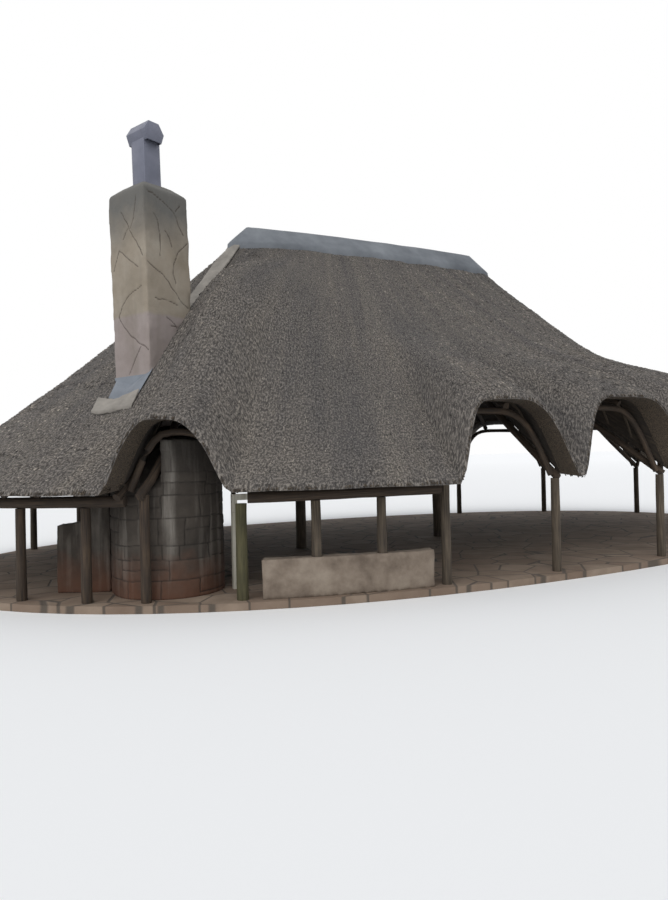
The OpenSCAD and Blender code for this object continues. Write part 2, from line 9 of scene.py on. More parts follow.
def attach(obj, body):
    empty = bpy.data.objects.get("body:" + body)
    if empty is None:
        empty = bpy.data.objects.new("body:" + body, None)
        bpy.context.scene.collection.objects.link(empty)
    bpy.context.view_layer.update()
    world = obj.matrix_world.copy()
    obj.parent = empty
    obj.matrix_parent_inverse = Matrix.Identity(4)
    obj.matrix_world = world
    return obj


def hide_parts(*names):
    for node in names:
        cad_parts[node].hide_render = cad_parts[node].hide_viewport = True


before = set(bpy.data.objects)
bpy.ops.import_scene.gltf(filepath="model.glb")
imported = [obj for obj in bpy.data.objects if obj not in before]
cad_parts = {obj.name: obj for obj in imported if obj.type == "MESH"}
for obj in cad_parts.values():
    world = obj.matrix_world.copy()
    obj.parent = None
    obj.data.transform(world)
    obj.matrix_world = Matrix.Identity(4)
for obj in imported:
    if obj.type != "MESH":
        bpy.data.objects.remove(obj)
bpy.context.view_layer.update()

# Roof sizes in metres, as the frame has them
ROOF_LENGTH, ROOF_WIDTH = 15.0, 8.95
RIDGE_X, RIDGE_Y = -0.62, -0.125
OVAL = 2.2
END_LEG = 12
EAVE_Z, RIDGE_Z = 1.28, 5.22
RIDGE_LENGTH, RIDGE_HALF_WIDTH, RIDGE_POWER = 4.3, 0.1, 0.9
SAG = 0.15
THATCH_DROP = 0.26
CUT_BACK, ARCH_FADE = 0.13, 0.6
SWELL_RISE, SWELL_ANGLE, SWELL_LEFT, SWELL_RIGHT = 0.85, -132.5, 12, 28
SWELL_PART, SWELL_BELOW, SWELL_ABOVE = 0.5, 0.38, 0.42
SPAN = RIDGE_Z - EAVE_Z
REACH_LEFT = ROOF_LENGTH / 2 + RIDGE_X
REACH_RIGHT = (ROOF_LENGTH / 2 - RIDGE_X) / math.cos(math.radians(END_LEG)) ** (2 / OVAL)
REACH_FRONT = ROOF_WIDTH / 2 + RIDGE_Y
REACH_BACK = ROOF_WIDTH / 2 - RIDGE_Y
FLOOR_Z = 0.08

# Arches of the eave: from, to, rise, two powers of the shape, place of the top
HEARTH_ARCH = (-133.8, -120.7, 0.75, 3, 1.3, 0.38)
LEGS = (-99, -87.4, -73, -57, -37, -END_LEG, END_LEG, 37, 57, 73, 87.4, 99)
ARCADE = [(a, b, 0.95 if abs(a + b) > 180 else 1.02, 5, 1.6, 0.5) for a, b in zip(LEGS, LEGS[1:])]
ARCHES = [HEARTH_ARCH] + ARCADE
SECTORS = {
    "front_left": (-155, -99), "front_right": (-99, -37), "right_end": (-37, 37),
    "back_right": (37, 99), "back_left": (99, 155), "left_end": (155, 205),
}

# Poles
POST_INSET = 0.45
POST_R, PALE_POST_R, KING_POST_R = 0.055, 0.062, 0.08
RAFTER_R, EAVE_BEAM_R, RIB_R, RIDGE_POLE_R = 0.048, 0.062, 0.04, 0.06
LATH_R = 0.017
RIB_REACH = 0.95
RAFTER_DROP = RAFTER_R * 1.3 + 0.022
BEAM_DROP = RAFTER_DROP + RAFTER_R + EAVE_BEAM_R

# Chimney and fireplace
DRUM_ANGLE, DRUM_INSET, DRUM_R = -133.2, 1.18, 0.63
STACK_BEHIND, STACK_WAY = 0.70, 88
STACK_W, STACK_TURN, STACK_LEAN = 0.67, 27.0, 1.2
LEAN_Z, STACK_TOP = 2.5, 4.84


def heading(degrees):
    """Where an angle of the plan points."""
    a = math.radians(degrees)
    return np.array([math.cos(a), math.sin(a)])


def way_along(path):
    """Distance from the start of a path to each of its points."""
    return np.concatenate([[0], np.cumsum(np.linalg.norm(np.diff(path, axis=0), axis=1))])


# Curves of the roof
def signed_power(v, p):
    return np.sign(v) * np.abs(v) ** p


def eave_xy(t, inset=0.0):
    c, s = np.cos(np.radians(t)), np.sin(np.radians(t))
    rx = np.where(c > 0, REACH_RIGHT, REACH_LEFT) - inset
    ry = np.where(s > 0, REACH_BACK, REACH_FRONT) - inset
    return np.stack([RIDGE_X + rx * signed_power(c, 2 / OVAL),
                     RIDGE_Y + ry * signed_power(s, 2 / OVAL)], -1)


def ridge_xy(t):
    c, s = np.cos(np.radians(t)), np.sin(np.radians(t))
    return np.stack([RIDGE_X + RIDGE_LENGTH / 2 * signed_power(c, RIDGE_POWER),
                     RIDGE_Y + RIDGE_HALF_WIDTH * signed_power(s, RIDGE_POWER)], -1)


def rise_at(t):
    t = np.where(np.asarray(t, float) > 180, np.asarray(t, float) - 360, t)
    rise = np.zeros_like(t)
    for a, b, height, p1, p2, peak in ARCHES:
        top = a + (b - a) * peak
        u = np.clip(np.where(t < top, (top - t) / (top - a), (t - top) / (b - top)), 0, 1)
        rise = np.maximum(rise, height * (1 - u ** p1) ** p2)
    return rise


def climb(s):
    return s - SAG * s * (1 - s)


def foot(t):
    return CUT_BACK * rise_at(t) / (SPAN * (1 - SAG))


EDGE_PART = THATCH_DROP / (SPAN * (1 - SAG))


def bell(x):
    return (1 - np.minimum(1, np.abs(x)) ** 2) ** 2


def swell(t, s):
    """Rise of the thatch that sweeps up past the chimney."""
    across = (t - SWELL_ANGLE) / np.where(t < SWELL_ANGLE, SWELL_LEFT, SWELL_RIGHT)
    up = (s - SWELL_PART) / np.where(s < SWELL_PART, SWELL_BELOW, SWELL_ABOVE)
    return SWELL_RISE * bell(across) * bell(up)


def roof_point(t, s, down=0.0, raised=True):
    t, s = np.broadcast_arrays(np.asarray(t, float), np.asarray(s, float))
    e, r = eave_xy(t), ridge_xy(t)
    xy = e + (r - e) * s[..., None]
    z = EAVE_Z + SPAN * climb(s) + swell(t, s) - down
    if raised:
        x = np.clip((s - foot(t)) / ARCH_FADE, 0, 1)
        z = z + (1 - CUT_BACK) * rise_at(t) * (1 - x * x * (3 - 2 * x))
    return np.concatenate([xy, z[..., None]], -1)


def slope_run(t):
    return np.linalg.norm(ridge_xy(t) - eave_xy(t), axis=-1)


def part_inside(t, d):
    return d / slope_run(t)


def roof_normal(t, s):
    dt, ds = 0.05, 0.004
    across = roof_point(t + dt, s) - roof_point(t - dt, s)
    up = roof_point(t, s + ds) - roof_point(t, s - ds)
    n = np.cross(across, up)
    n = n / np.maximum(np.linalg.norm(n, axis=-1, keepdims=True), 1e-9)
    return np.where(n[..., 2:3] < 0, -n, n)


# Distance along the eave, and the angle at a distance
WAY_T = np.linspace(-180, 225, 4051)
WAY_U = way_along(eave_xy(WAY_T))


def along(t):
    return np.interp(t, WAY_T, WAY_U)


def angle_along(u):
    return np.interp(u, WAY_U, WAY_T)


# Noise on a lattice, the same on every run
def lattice(ix, iy, iz, seed):
    h = (ix * 374761393 + iy * 668265263 + iz * 1274126177 + seed * 144665) & 0xFFFFFFFF
    h = ((h ^ (h >> 13)) * 1103515245) & 0xFFFFFFFF
    return ((h ^ (h >> 16)) & 0xFFFFFF) / 0xFFFFFF


def noise(p, size, seed=0):
    """Smooth noise from -1 to 1, with lumps about as large as size."""
    q = np.asarray(p, float) / size
    i = np.floor(q).astype(np.int64)
    f = q - i
    f = f * f * (3 - 2 * f)
    total = 0
    for corner in np.ndindex(2, 2, 2):
        wx, wy, wz = [np.where(c, f[..., k], 1 - f[..., k]) for k, c in enumerate(corner)]
        ix, iy, iz = [i[..., k] + c for k, c in enumerate(corner)]
        total = total + wx * wy * wz * lattice(ix, iy, iz, seed)
    return total * 2 - 1


def waves(p, *layers):
    """Noise laid over noise. Each layer is (height, size of its lumps, seed)."""
    return sum(height * noise(p, size, seed) for height, size, seed in layers)


# Meshes
def deselect():
    bpy.ops.object.select_all(action="DESELECT")


def active(obj):
    deselect()
    bpy.context.view_layer.objects.active = obj
    obj.select_set(True)


def settled(name):
    """The primitive just added, named, with its place and turn put into its mesh."""
    obj = bpy.context.object
    obj.name = obj.data.name = name
    bpy.ops.object.transform_apply(location=True, rotation=True, scale=True)
    return obj


def new_object(name, data):
    obj = bpy.data.objects.new(name, data)
    bpy.context.scene.collection.objects.link(obj)
    return obj


def dress(mesh, *materials):
    mesh.materials.clear()
    for material in materials:
        mesh.materials.append(material)


def start_edit(obj):
    active(obj)
    bpy.ops.object.mode_set(mode="EDIT")
    bpy.ops.mesh.select_mode(type="EDGE")
    bpy.ops.mesh.select_all(action="SELECT")


def end_edit():
    bpy.ops.object.mode_set(mode="OBJECT")


def face_out(obj):
    start_edit(obj)
    bpy.ops.mesh.normals_make_consistent(inside=False)
    end_edit()


def smooth(obj, angle):
    active(obj)
    bpy.ops.object.shade_smooth_by_angle(angle=math.radians(angle))


def modify(obj, kind, **settings):
    """Puts a modifier on a piece and applies it."""
    m = obj.modifiers.new(kind.lower(), kind)
    for name, value in settings.items():
        setattr(m, name, value)
    active(obj)
    bpy.ops.object.modifier_apply(modifier=m.name)


def values_of(items, name, width=1, kind=np.float32):
    """A table with a row of values for each of a mesh's items."""
    values = np.empty(len(items) * width, kind)
    items.foreach_get(name, values)
    return values.reshape(-1, width) if width > 1 else values


def points_of(obj):
    return values_of(obj.data.vertices, "co", 3).astype(float)


def normals_of(obj):
    return values_of(obj.data.vertices, "normal", 3).astype(float)


def set_points(obj, p):
    obj.data.vertices.foreach_set("co", np.asarray(p, np.float32).ravel())
    obj.data.update()


def set_attribute(obj, name, values):
    a = obj.data.attributes.get(name) or obj.data.attributes.new(name, "FLOAT", "POINT")
    a.data.foreach_set("value", np.asarray(values, np.float32))


def set_grain(obj, uv_of_points):
    """Grain coordinates of a piece, given for each of its points."""
    mesh = obj.data
    layer = mesh.uv_layers[0] if mesh.uv_layers else mesh.uv_layers.new()
    layer.name = "slope"
    corner = values_of(mesh.loops, "vertex_index", kind=np.int32)
    layer.data.foreach_set("uv", np.asarray(uv_of_points, np.float32)[corner].ravel())


def group_of(obj, name, chosen):
    """A vertex group of the points that are chosen."""
    group = obj.vertex_groups.new(name=name)
    group.add([int(i) for i in np.nonzero(chosen)[0]], 1.0, "REPLACE")
    return name


def grid_on(name, points, uv, row_material=None, materials=()):
    """A grid primitive whose points are laid on a table of places, columns by rows."""
    n, k = points.shape[:2]
    deselect()
    bpy.ops.mesh.primitive_grid_add(x_subdivisions=n - 1, y_subdivisions=k - 1, size=2)
    obj = settled(name)
    dress(obj.data, *materials)
    if row_material is not None:
        middle = values_of(obj.data.polygons, "center", 3)[:, 1]
        row = np.floor((middle + 1) / 2 * (k - 1)).astype(int)
        obj.data.polygons.foreach_set("material_index", np.asarray(row_material, np.int32)[row])
    p = points_of(obj)
    i = np.rint((p[:, 0] + 1) / 2 * (n - 1)).astype(int)
    j = np.rint((p[:, 1] + 1) / 2 * (k - 1)).astype(int)
    set_points(obj, points[i, j])
    set_grain(obj, uv[i, j])
    return obj


SHELL_ANGLE = 60


def close_shell(obj, open_ends=True):
    """Merges the seams of a rolled grid, fills its open ends and turns its faces outwards."""
    start_edit(obj)
    bpy.ops.mesh.remove_doubles(threshold=0.0001)
    if open_ends:
        bpy.ops.mesh.select_all(action="DESELECT")
        bpy.ops.mesh.select_non_manifold(extend=False, use_wire=False, use_boundary=True,
                                         use_multi_face=False, use_non_contiguous=False, use_verts=False)
        bpy.ops.mesh.fill(use_beauty=False)
    end_edit()
    face_out(obj)
    smooth(obj, SHELL_ANGLE)


def joined(name, objects):
    deselect()
    for obj in objects:
        obj.select_set(True)
    bpy.context.view_layer.objects.active = objects[0]
    if len(objects) > 1:
        bpy.ops.object.join()
    obj = bpy.context.view_layer.objects.active
    obj.name = obj.data.name = name
    return obj


def strewn(name, model, origin, axes, uv, tone, material):
    """Copies of a small model as one mesh. axes holds where each copy's X, Y and Z go."""
    local = points_of(model)
    count, each = len(origin), len(local)
    places = origin[:, None] + np.einsum("vk,ckd->cvd", local, axes)
    corner = values_of(model.data.loops, "vertex_index", kind=np.int32)
    corner = (np.arange(count)[:, None] * each + corner).astype(np.int32).ravel()
    width = np.tile(values_of(model.data.polygons, "loop_total", kind=np.int32), count)
    mesh = bpy.data.meshes.new(name)
    mesh.vertices.add(count * each)
    mesh.vertices.foreach_set("co", places.astype(np.float32).ravel())
    mesh.loops.add(len(corner))
    mesh.loops.foreach_set("vertex_index", corner)
    mesh.polygons.add(len(width))
    mesh.polygons.foreach_set("loop_start", np.concatenate([[0], np.cumsum(width)[:-1]]).astype(np.int32))
    mesh.polygons.foreach_set("loop_total", width)
    mesh.update(calc_edges=True)
    mesh.validate()
    dress(mesh, material)
    obj = new_object(name, mesh)
    set_grain(obj, np.repeat(uv, each, 0))
    set_attribute(obj, "tone", np.repeat(tone, each))
    return obj


def keep(obj, slot, *nodes):
    """The piece rides with the hut and stands for some CAD nodes, which are hidden. slot is not used."""
    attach(obj, "root")
    if nodes:
        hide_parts(*nodes)


def remove(obj):
    bpy.data.objects.remove(obj)


# Materials
def tint(r, g, b):
    """A colour given as a screen shows it."""
    def linear(c):
        c /= 255
        return c / 12.92 if c <= 0.04045 else ((c + 0.055) / 1.055) ** 2.4
    return (linear(r), linear(g), linear(b), 1)


# The colour sockets of a Mix node, which share their names with others
MIX_A, MIX_B, MIX_COLOUR = 6, 7, 2


class Nodes:
    """Short ways to add nodes to the tree of a material or of the sky."""

    def __init__(self, owner):
        owner.use_nodes = True
        self.tree = owner.node_tree

    def put(self, socket, value):
        if hasattr(value, "is_output"):
            self.tree.links.new(value, socket)
        else:
            socket.default_value = value

    def node(self, kind, output, inputs=None, **settings):
        """One output of a new node of a kind, with its inputs and settings."""
        n = self.tree.nodes.new("ShaderNode" + kind)
        for name, value in settings.items():
            setattr(n, name, value)
        for name, value in (inputs or {}).items():
            self.put(n.inputs[name], value)
        return n.outputs[output]

    def math(self, operation, a, b):
        return self.node("Math", 0, {0: a, 1: b}, operation=operation)


class Finish(Nodes):
    """A material, and short ways to draw its look."""

    def __init__(self, name, roughness=0.9, metallic=0.0):
        self.material = bpy.data.materials.new(name)
        super().__init__(self.material)
        self.shader = self.tree.nodes["Principled BSDF"]
        self.put(self.shader.inputs["Roughness"], roughness)
        self.put(self.shader.inputs["Metallic"], metallic)

    def place(self, x=1, y=1, z=1):
        """Places in the hut, stretched by a scale."""
        where = self.node("TexCoord", "Object")
        return self.node("Mapping", "Vector", {"Vector": where, "Scale": (x, y, z)})

    def grain(self, across, up):
        """Places along a piece's own grain, stretched by a scale."""
        where = self.node("UVMap", "UV", uv_map="slope")
        return self.node("Mapping", "Vector", {"Vector": where, "Scale": (across, up, 1)})

    def noise(self, where, scale, detail=4.0, rough=0.55):
        return self.node("TexNoise", "Fac", {"Vector": where, "Scale": scale, "Detail": detail,
                                             "Roughness": rough})

    def cells(self, where, scale, feature="F1", output="Distance"):
        return self.node("TexVoronoi", output, {"Vector": where, "Scale": scale}, feature=feature)

    def attribute(self, name):
        return self.node("Attribute", "Fac", attribute_name=name)

    def height(self):
        return self.node("SeparateXYZ", "Z", {0: self.node("TexCoord", "Object")})

    def wavy_height(self, scale, detail, amount):
        """Height over the ground, uneven so that a border drawn by it wavers."""
        wave = self.noise(self.place(), scale, detail)
        return self.math("ADD", self.height(), self.math("MULTIPLY", wave, amount))

    def span(self, value, low, high, to_low=0.0, to_high=1.0):
        return self.node("MapRange", "Result", {"Value": value, "From Min": low, "From Max": high,
                                                "To Min": to_low, "To Max": to_high})

    def ramp(self, value, *stops):
        colour = self.node("ValToRGB", "Color", {"Fac": value})
        elements = colour.node.color_ramp.elements
        while len(elements) < len(stops):
            elements.new(0.5)
        for element, (place, tone) in zip(elements, stops):
            element.position = place
            element.color = tone
        return colour

    def mix(self, factor, a, b, blend="MIX"):
        return self.node("Mix", MIX_COLOUR, {"Factor": factor, MIX_A: a, MIX_B: b},
                         data_type="RGBA", blend_type=blend)

    def over(self, colour, other, value, low, high, most=1.0):
        """Another colour laid over the first, from none where the value is low to most where it is high."""
        return self.mix(self.span(value, low, high, 0.0, most), colour, other)

    def times(self, colour, other):
        return self.mix(1.0, colour, other, "MULTIPLY")

    def bump(self, height, strength=0.4, distance=0.01, normal=None):
        inputs = {"Height": height, "Strength": strength, "Distance": distance}
        if normal is not None:
            inputs["Normal"] = normal
        return self.node("Bump", "Normal", inputs)

    def done(self, colour, normal=None, roughness=None):
        for name, value in (("Base Color", colour), ("Normal", normal), ("Roughness", roughness)):
            if value is not None:
                self.put(self.shader.inputs[name], value)
        return self.material


# Finishes
def reed_coat():
    """Grey reeds: speckled butts, streaks up the slope, faint courses, patches and runs of rain."""
    f = Finish("reed_coat", 0.95)
    streaks = f.noise(f.grain(26, 5), 1.0, 5)
    stipple = f.noise(f.grain(42, 30), 1.0, 3, 0.7)
    courses = f.noise(f.grain(7, 15), 1.0, 3)
    patches = f.noise(f.place(), 0.55, 3)
    runs = f.noise(f.grain(1.6, 0.22), 1.0, 5, 0.65)
    colour = f.ramp(stipple, (0.41, tint(34, 32, 31)), (0.5, tint(98, 93, 89)), (0.59, tint(170, 163, 155)))
    colour = f.mix(0.25, colour, f.ramp(streaks, (0.3, tint(84, 80, 78)), (0.7, tint(138, 131, 125))))
    colour = f.over(colour, tint(136, 129, 123), courses, 0.4, 0.7, 0.3)
    colour = f.over(colour, tint(84, 84, 86), patches, 0.35, 0.7, 0.3)
    colour = f.times(colour, f.ramp(runs, (0.36, tint(214, 214, 216)), (0.64, tint(255, 252, 246))))
    colour = f.times(colour, f.ramp(f.attribute("tone"), (0.0, (0.4, 0.4, 0.4, 1)),
                                    (0.5, (0.85, 0.85, 0.85, 1)), (1.0, (1.5, 1.48, 1.44, 1))))
    return f.done(colour, f.bump(streaks, 0.4, 0.01, f.bump(stipple, 1.0, 0.03)))


def reed_ends():
    f = Finish("reed_ends", 0.95)
    dots = f.cells(f.place(), 95)
    colour = f.ramp(dots, (0.05, tint(124, 110, 92)), (0.45, tint(84, 74, 62)), (0.8, tint(40, 35, 30)))
    colour = f.over(colour, tint(66, 58, 49), f.noise(f.place(), 6, 3), 0.3, 0.7, 0.5)
    colour = f.times(colour, f.ramp(f.attribute("tone"), (0.0, (0.5, 0.5, 0.5, 1)),
                                    (1.0, (1.35, 1.3, 1.25, 1))))
    return f.done(colour, f.bump(dots, 0.8, 0.008))


def reed_underside():
    f = Finish("reed_underside", 0.95)
    streaks = f.noise(f.grain(60, 4), 1.0, 5)
    # Painted shade: darker than the reeds' own colour, for the shade under the eave
    colour = f.ramp(streaks, (0.3, tint(26, 22, 18)), (0.5, tint(46, 39, 32)), (0.75, tint(70, 60, 48)))
    colour = f.over(colour, tint(32, 28, 24), f.noise(f.place(), 0.9, 3), 0.35, 0.7, 0.5)
    return f.done(colour, f.bump(streaks, 0.6, 0.01))


def gum_pole(name, dark, mid, light):
    f = Finish(name, 0.85)
    grain = f.noise(f.grain(60, 3), 1.0, 5)
    cracks = f.noise(f.grain(30, 1.2), 1.0, 2)
    colour = f.ramp(grain, (0.25, dark), (0.5, mid), (0.8, light))
    colour = f.over(colour, dark, cracks, 0.62, 0.68, 0.7)
    colour = f.over(colour, dark, f.noise(f.place(), 2.2, 3), 0.4, 0.75, 0.5)
    return f.done(colour, f.bump(grain, 0.5, 0.006))


DAY_JOINT = (3.40, 3.36)


def carved_plaster():
    """Cream plaster of the stack: weathered grey at the top, pinker below a day joint, dark lines."""
    f = Finish("carved_plaster", 0.92)
    clouds = f.noise(f.place(), 2.4, 5, 0.6)
    grit = f.noise(f.place(), 60, 4, 0.7)
    stains = f.noise(f.place(5, 5, 0.8), 1.0, 4)
    pink = f.ramp(clouds, (0.3, tint(136, 125, 120)), (0.7, tint(152, 142, 138)))
    colour = f.ramp(clouds, (0.3, tint(129, 119, 104)), (0.5, tint(142, 132, 118)),
                    (0.72, tint(153, 145, 132)))
    colour = f.over(colour, pink, f.wavy_height(7, 3, 0.06), *DAY_JOINT)
    colour = f.over(colour, tint(93, 92, 89), f.wavy_height(3.2, 4, 0.5), 4.35, 4.95, 0.95)
    colour = f.over(colour, tint(113, 106, 95), stains, 0.5, 0.75, 0.4)
    colour = f.mix(f.math("MULTIPLY", f.attribute("crack"), 0.85), colour, tint(62, 53, 45))
    return f.done(colour, f.bump(grit, 0.35, 0.004, f.bump(clouds, 0.3, 0.03)))


def scored_plaster():
    """Plaster of the fireplace: scored blocks, streaked pale, reddish at the foot; painted shade keeps it
    dark and darkens it further towards the top, and a painted highlight runs down its front.
    """
    f = Finish("scored_plaster", 0.93)
    clouds = f.noise(f.place(), 3.5, 5, 0.6)
    grit = f.noise(f.place(), 45, 4, 0.7)
    streaks = f.noise(f.place(9, 9, 0.7), 1.0, 4)
    # Painted highlight: pale colour laid where the pale mask is set, broken up by noise
    painted_highlight = f.span(f.noise(f.place(16, 16, 1.5), 1.0, 4), 0.4, 0.6, 0.15, 0.75)
    # Painted shade: the base colours are kept darker than the plaster's own, for the shade under the thatch
    colour = f.ramp(clouds, (0.3, tint(50, 45, 40)), (0.5, tint(63, 57, 51)), (0.75, tint(78, 71, 64)))
    colour = f.over(colour, tint(122, 116, 109), streaks, 0.52, 0.72, 0.6)
    colour = f.mix(f.math("MULTIPLY", f.attribute("pale"), painted_highlight), colour, tint(136, 131, 124))
    colour = f.times(colour, f.ramp(f.attribute("tone"), (0.0, (0.85, 0.84, 0.83, 1)),
                                    (1.0, (1.08, 1.08, 1.07, 1))))
    colour = f.over(colour, tint(106, 66, 45), f.wavy_height(5, 4, 0.5), 0.85, 0.35, 0.6)
    # Painted shade: darker towards the top, where the thatch shades the fireplace
    colour = f.over(colour, tint(34, 31, 28), f.height(), 1.1, 1.8, 0.6)
    colour = f.mix(f.math("MULTIPLY", f.attribute("joint"), 0.75), colour, tint(32, 28, 24))
    return f.done(colour, f.bump(grit, 0.5, 0.005, f.bump(clouds, 0.35, 0.03)))


def mortar(name, dark, mid, light, scale=4.0):
    f = Finish(name, 0.9)
    clouds = f.noise(f.place(), scale, 5, 0.6)
    grit = f.noise(f.place(), 70, 4, 0.7)
    colour = f.ramp(clouds, (0.3, dark), (0.5, mid), (0.72, light))
    colour = f.over(colour, dark, grit, 0.6, 0.8, 0.4)
    return f.done(colour, f.bump(grit, 0.4, 0.004, f.bump(clouds, 0.4, 0.03)))


def sheet_metal(name, base, dull, roughness):
    f = Finish(name, roughness, 0.25)
    clouds = f.noise(f.place(), 3, 4)
    colour = f.over(base, dull, clouds, 0.35, 0.7)
    colour = f.over(colour, tint(78, 78, 82), f.noise(f.place(14, 14, 1.2), 1.0, 4), 0.55, 0.8, 0.35)
    rough = f.span(clouds, 0.3, 0.7, roughness - 0.08, roughness + 0.15)
    return f.done(colour, f.bump(clouds, 0.15, 0.02), rough)


STONE_SCALE = 2.1


def stone_floor():
    """Flat stones with narrow joints, the same through the slab's depth."""
    f = Finish("stone_floor", 0.85)
    where = f.place(1, 1, 0.02)
    edge = f.cells(where, STONE_SCALE, "DISTANCE_TO_EDGE")
    each = f.node("SeparateColor", 0, {0: f.cells(where, STONE_SCALE, "F1", "Color")})
    colour = f.ramp(f.noise(f.place(), 3, 5), (0.3, tint(118, 101, 86)), (0.7, tint(146, 130, 114)))
    colour = f.over(colour, tint(104, 84, 70), each, 0.0, 1.0, 0.5)
    colour = f.over(colour, tint(84, 75, 66), edge, 0.03, 0.015)
    normal = f.bump(f.span(edge, 0.0, 0.035), 0.5, 0.012)
    return f.done(colour, f.bump(f.noise(f.place(), 50, 4), 0.3, 0.004, normal))


def pale_paint():
    f = Finish("pale_paint", 0.7)
    grain = f.noise(f.place(30, 30, 2), 1.0, 4)
    colour = f.ramp(grain, (0.3, tint(168, 163, 148)), (0.7, tint(204, 200, 188)))
    colour = f.over(colour, tint(118, 104, 84), f.noise(f.place(), 22, 4), 0.62, 0.68, 0.8)
    return f.done(colour, f.bump(grain, 0.3, 0.003))


REED_COAT = reed_coat()
REED_ENDS = reed_ends()
REED_UNDERSIDE = reed_underside()
GUM_POLE = gum_pole("gum_pole", tint(28, 22, 17), tint(58, 46, 35), tint(88, 72, 55))
GREY_POLE = gum_pole("grey_pole", tint(40, 34, 28), tint(78, 68, 56), tint(112, 100, 84))
PALE_POLE = gum_pole("pale_pole", tint(46, 44, 27), tint(74, 70, 45), tint(97, 92, 65))
CARVED_PLASTER = carved_plaster()
SCORED_PLASTER = scored_plaster()
PALE_MORTAR = mortar("pale_mortar", tint(112, 107, 101), tint(132, 127, 120), tint(150, 144, 136))
RIDGE_MORTAR = mortar("ridge_mortar", tint(86, 90, 95), tint(107, 111, 116), tint(126, 130, 134), 1.6)
WALL_PLASTER = mortar("wall_plaster", tint(96, 84, 73), tint(126, 113, 100), tint(148, 136, 122))
DUCT_METAL = sheet_metal("duct_metal", tint(112, 114, 128), tint(98, 101, 114), 0.5)
FLASHING_METAL = sheet_metal("flashing_metal", tint(120, 126, 134), tint(104, 110, 118), 0.55)
STONE_FLOOR = stone_floor()
PALE_PAINT = pale_paint()


# Thatch
CELL = 0.05
OUTER_ROWS, INNER_ROWS, CUT_ROWS = 100, 22, 5
COURSE, COURSE_STEP, COURSE_SUNK = 0.075, 0.007, 0.004
EDGE_ROUND, EDGE_DROP = 0.07, 0.045
TUFT_ACROSS, TUFT_ALONG, TUFT_TOP = 0.044, 0.058, 0.955
TUFT_LENGTH, TUFT_HALF = (0.035, 0.075), (0.008, 0.016)
TUFT_JITTER, TUFT_TURN, TUFT_RAISED, TUFT_SUNK = 1.4, 0.14, 0.06, 0.4
STUBS_A_METRE, FRINGE_A_METRE = 190, 110
STUB_R, FRINGE_R = (0.006, 0.011), (0.003, 0.006)
STUB_OUT, FRINGE_OUT = (0.004, 0.014), (0.004, 0.018)
STUB_BACK, FRINGE_BACK, FRINGE_DEPTH = 0.02, 0.05, 0.3
REED_DROOP, REED_SPREAD = 0.5, 0.12
# Shades of single reeds, as middle and spread
TUFT_SHADE, STUB_SHADE = (0.56, 0.34), (0.5, 0.28)


def columns(a, b, step):
    count = max(4, int(round((along(b) - along(a)) / step)))
    return angle_along(np.linspace(along(a), along(b), count + 1))


def relief(p, v):
    """Height of the reed coat over the plain roof: broad waves, fine lumps and stepped courses."""
    step = (v + 0.05 * noise(p, 0.7, 4)) / COURSE
    lumps = waves(p, (0.014, 0.9, 1), (0.006, 0.3, 2), (0.004, 0.09, 3))
    return lumps + COURSE_STEP * (1 - (step - np.floor(step))) - COURSE_SUNK


def coat_point(t, s):
    """A point of the finished coat, its outward normal and its way up the slope."""
    p = roof_point(t, s)
    n = roof_normal(t, np.maximum(s, 0.005))
    v = (s - foot(t)) * np.hypot(slope_run(t), SPAN)
    lip = np.clip(1 - v / EDGE_ROUND, 0, 1)
    drop = EDGE_DROP * (1 - np.sqrt(np.clip(1 - lip * lip, 0, 1)))
    return p + n * (relief(p, v) - drop)[..., None], n, v


def thatch_coat(sector, a, b):
    """The coat of a sector: a grid rolled over the top, back underneath and up the cut edge."""
    ts = columns(a, b, CELL)
    t, j = np.meshgrid(ts, np.linspace(0, 1, OUTER_ROWS + 1), indexing="ij")
    outer, _, v = coat_point(t, foot(t) + (1 - foot(t)) * j)
    t, j = np.meshgrid(ts, np.linspace(1, 0, INNER_ROWS + 1), indexing="ij")
    s = foot(t) + EDGE_PART + (1 - foot(t) - EDGE_PART) * j
    inner = roof_point(t, s, THATCH_DROP)
    inner[..., 2] += 0.006 * noise(inner, 0.25, 7)
    q = np.linspace(0, 1, CUT_ROWS + 2)[1:-1][None, :, None]
    cut = inner[:, -1:, :] * (1 - q) + outer[:, :1, :] * q
    cut[..., 2] += 0.008 * noise(cut, 0.12, 8)
    points = np.concatenate([outer, inner, cut, outer[:, :1]], 1)
    up_inner = s * np.hypot(slope_run(ts), SPAN)[:, None]
    up_cut = np.broadcast_to(q[..., 0] * THATCH_DROP, (len(ts), CUT_ROWS))
    up = np.concatenate([v, up_inner, up_cut, np.full((len(ts), 1), THATCH_DROP)], 1)
    grain = np.stack([np.broadcast_to(along(ts)[:, None], up.shape), up], -1)
    kinds = [0] * (OUTER_ROWS + 1) + [2] * INNER_ROWS + [1] * (CUT_ROWS + 1)
    obj = grid_on("coat_" + sector, points, grain, kinds, [REED_COAT, REED_ENDS, REED_UNDERSIDE])
    set_attribute(obj, "tone", np.full(len(obj.data.vertices), 0.5))
    close_shell(obj)
    keep(obj, "thatch", "thatch_" + sector)


def unit(v):
    return v / np.maximum(np.linalg.norm(v, axis=-1, keepdims=True), 1e-9)


def tuft_model():
    """A bunch of reed butts: a cone laid flat, its head sunk in the coat, its wide end downhill."""
    deselect()
    bpy.ops.mesh.primitive_cone_add(vertices=3, radius1=1, radius2=0, depth=1, location=(0, 0, -0.5),
                                    rotation=(math.pi, 0, math.pi))
    return settled("tuft_model")


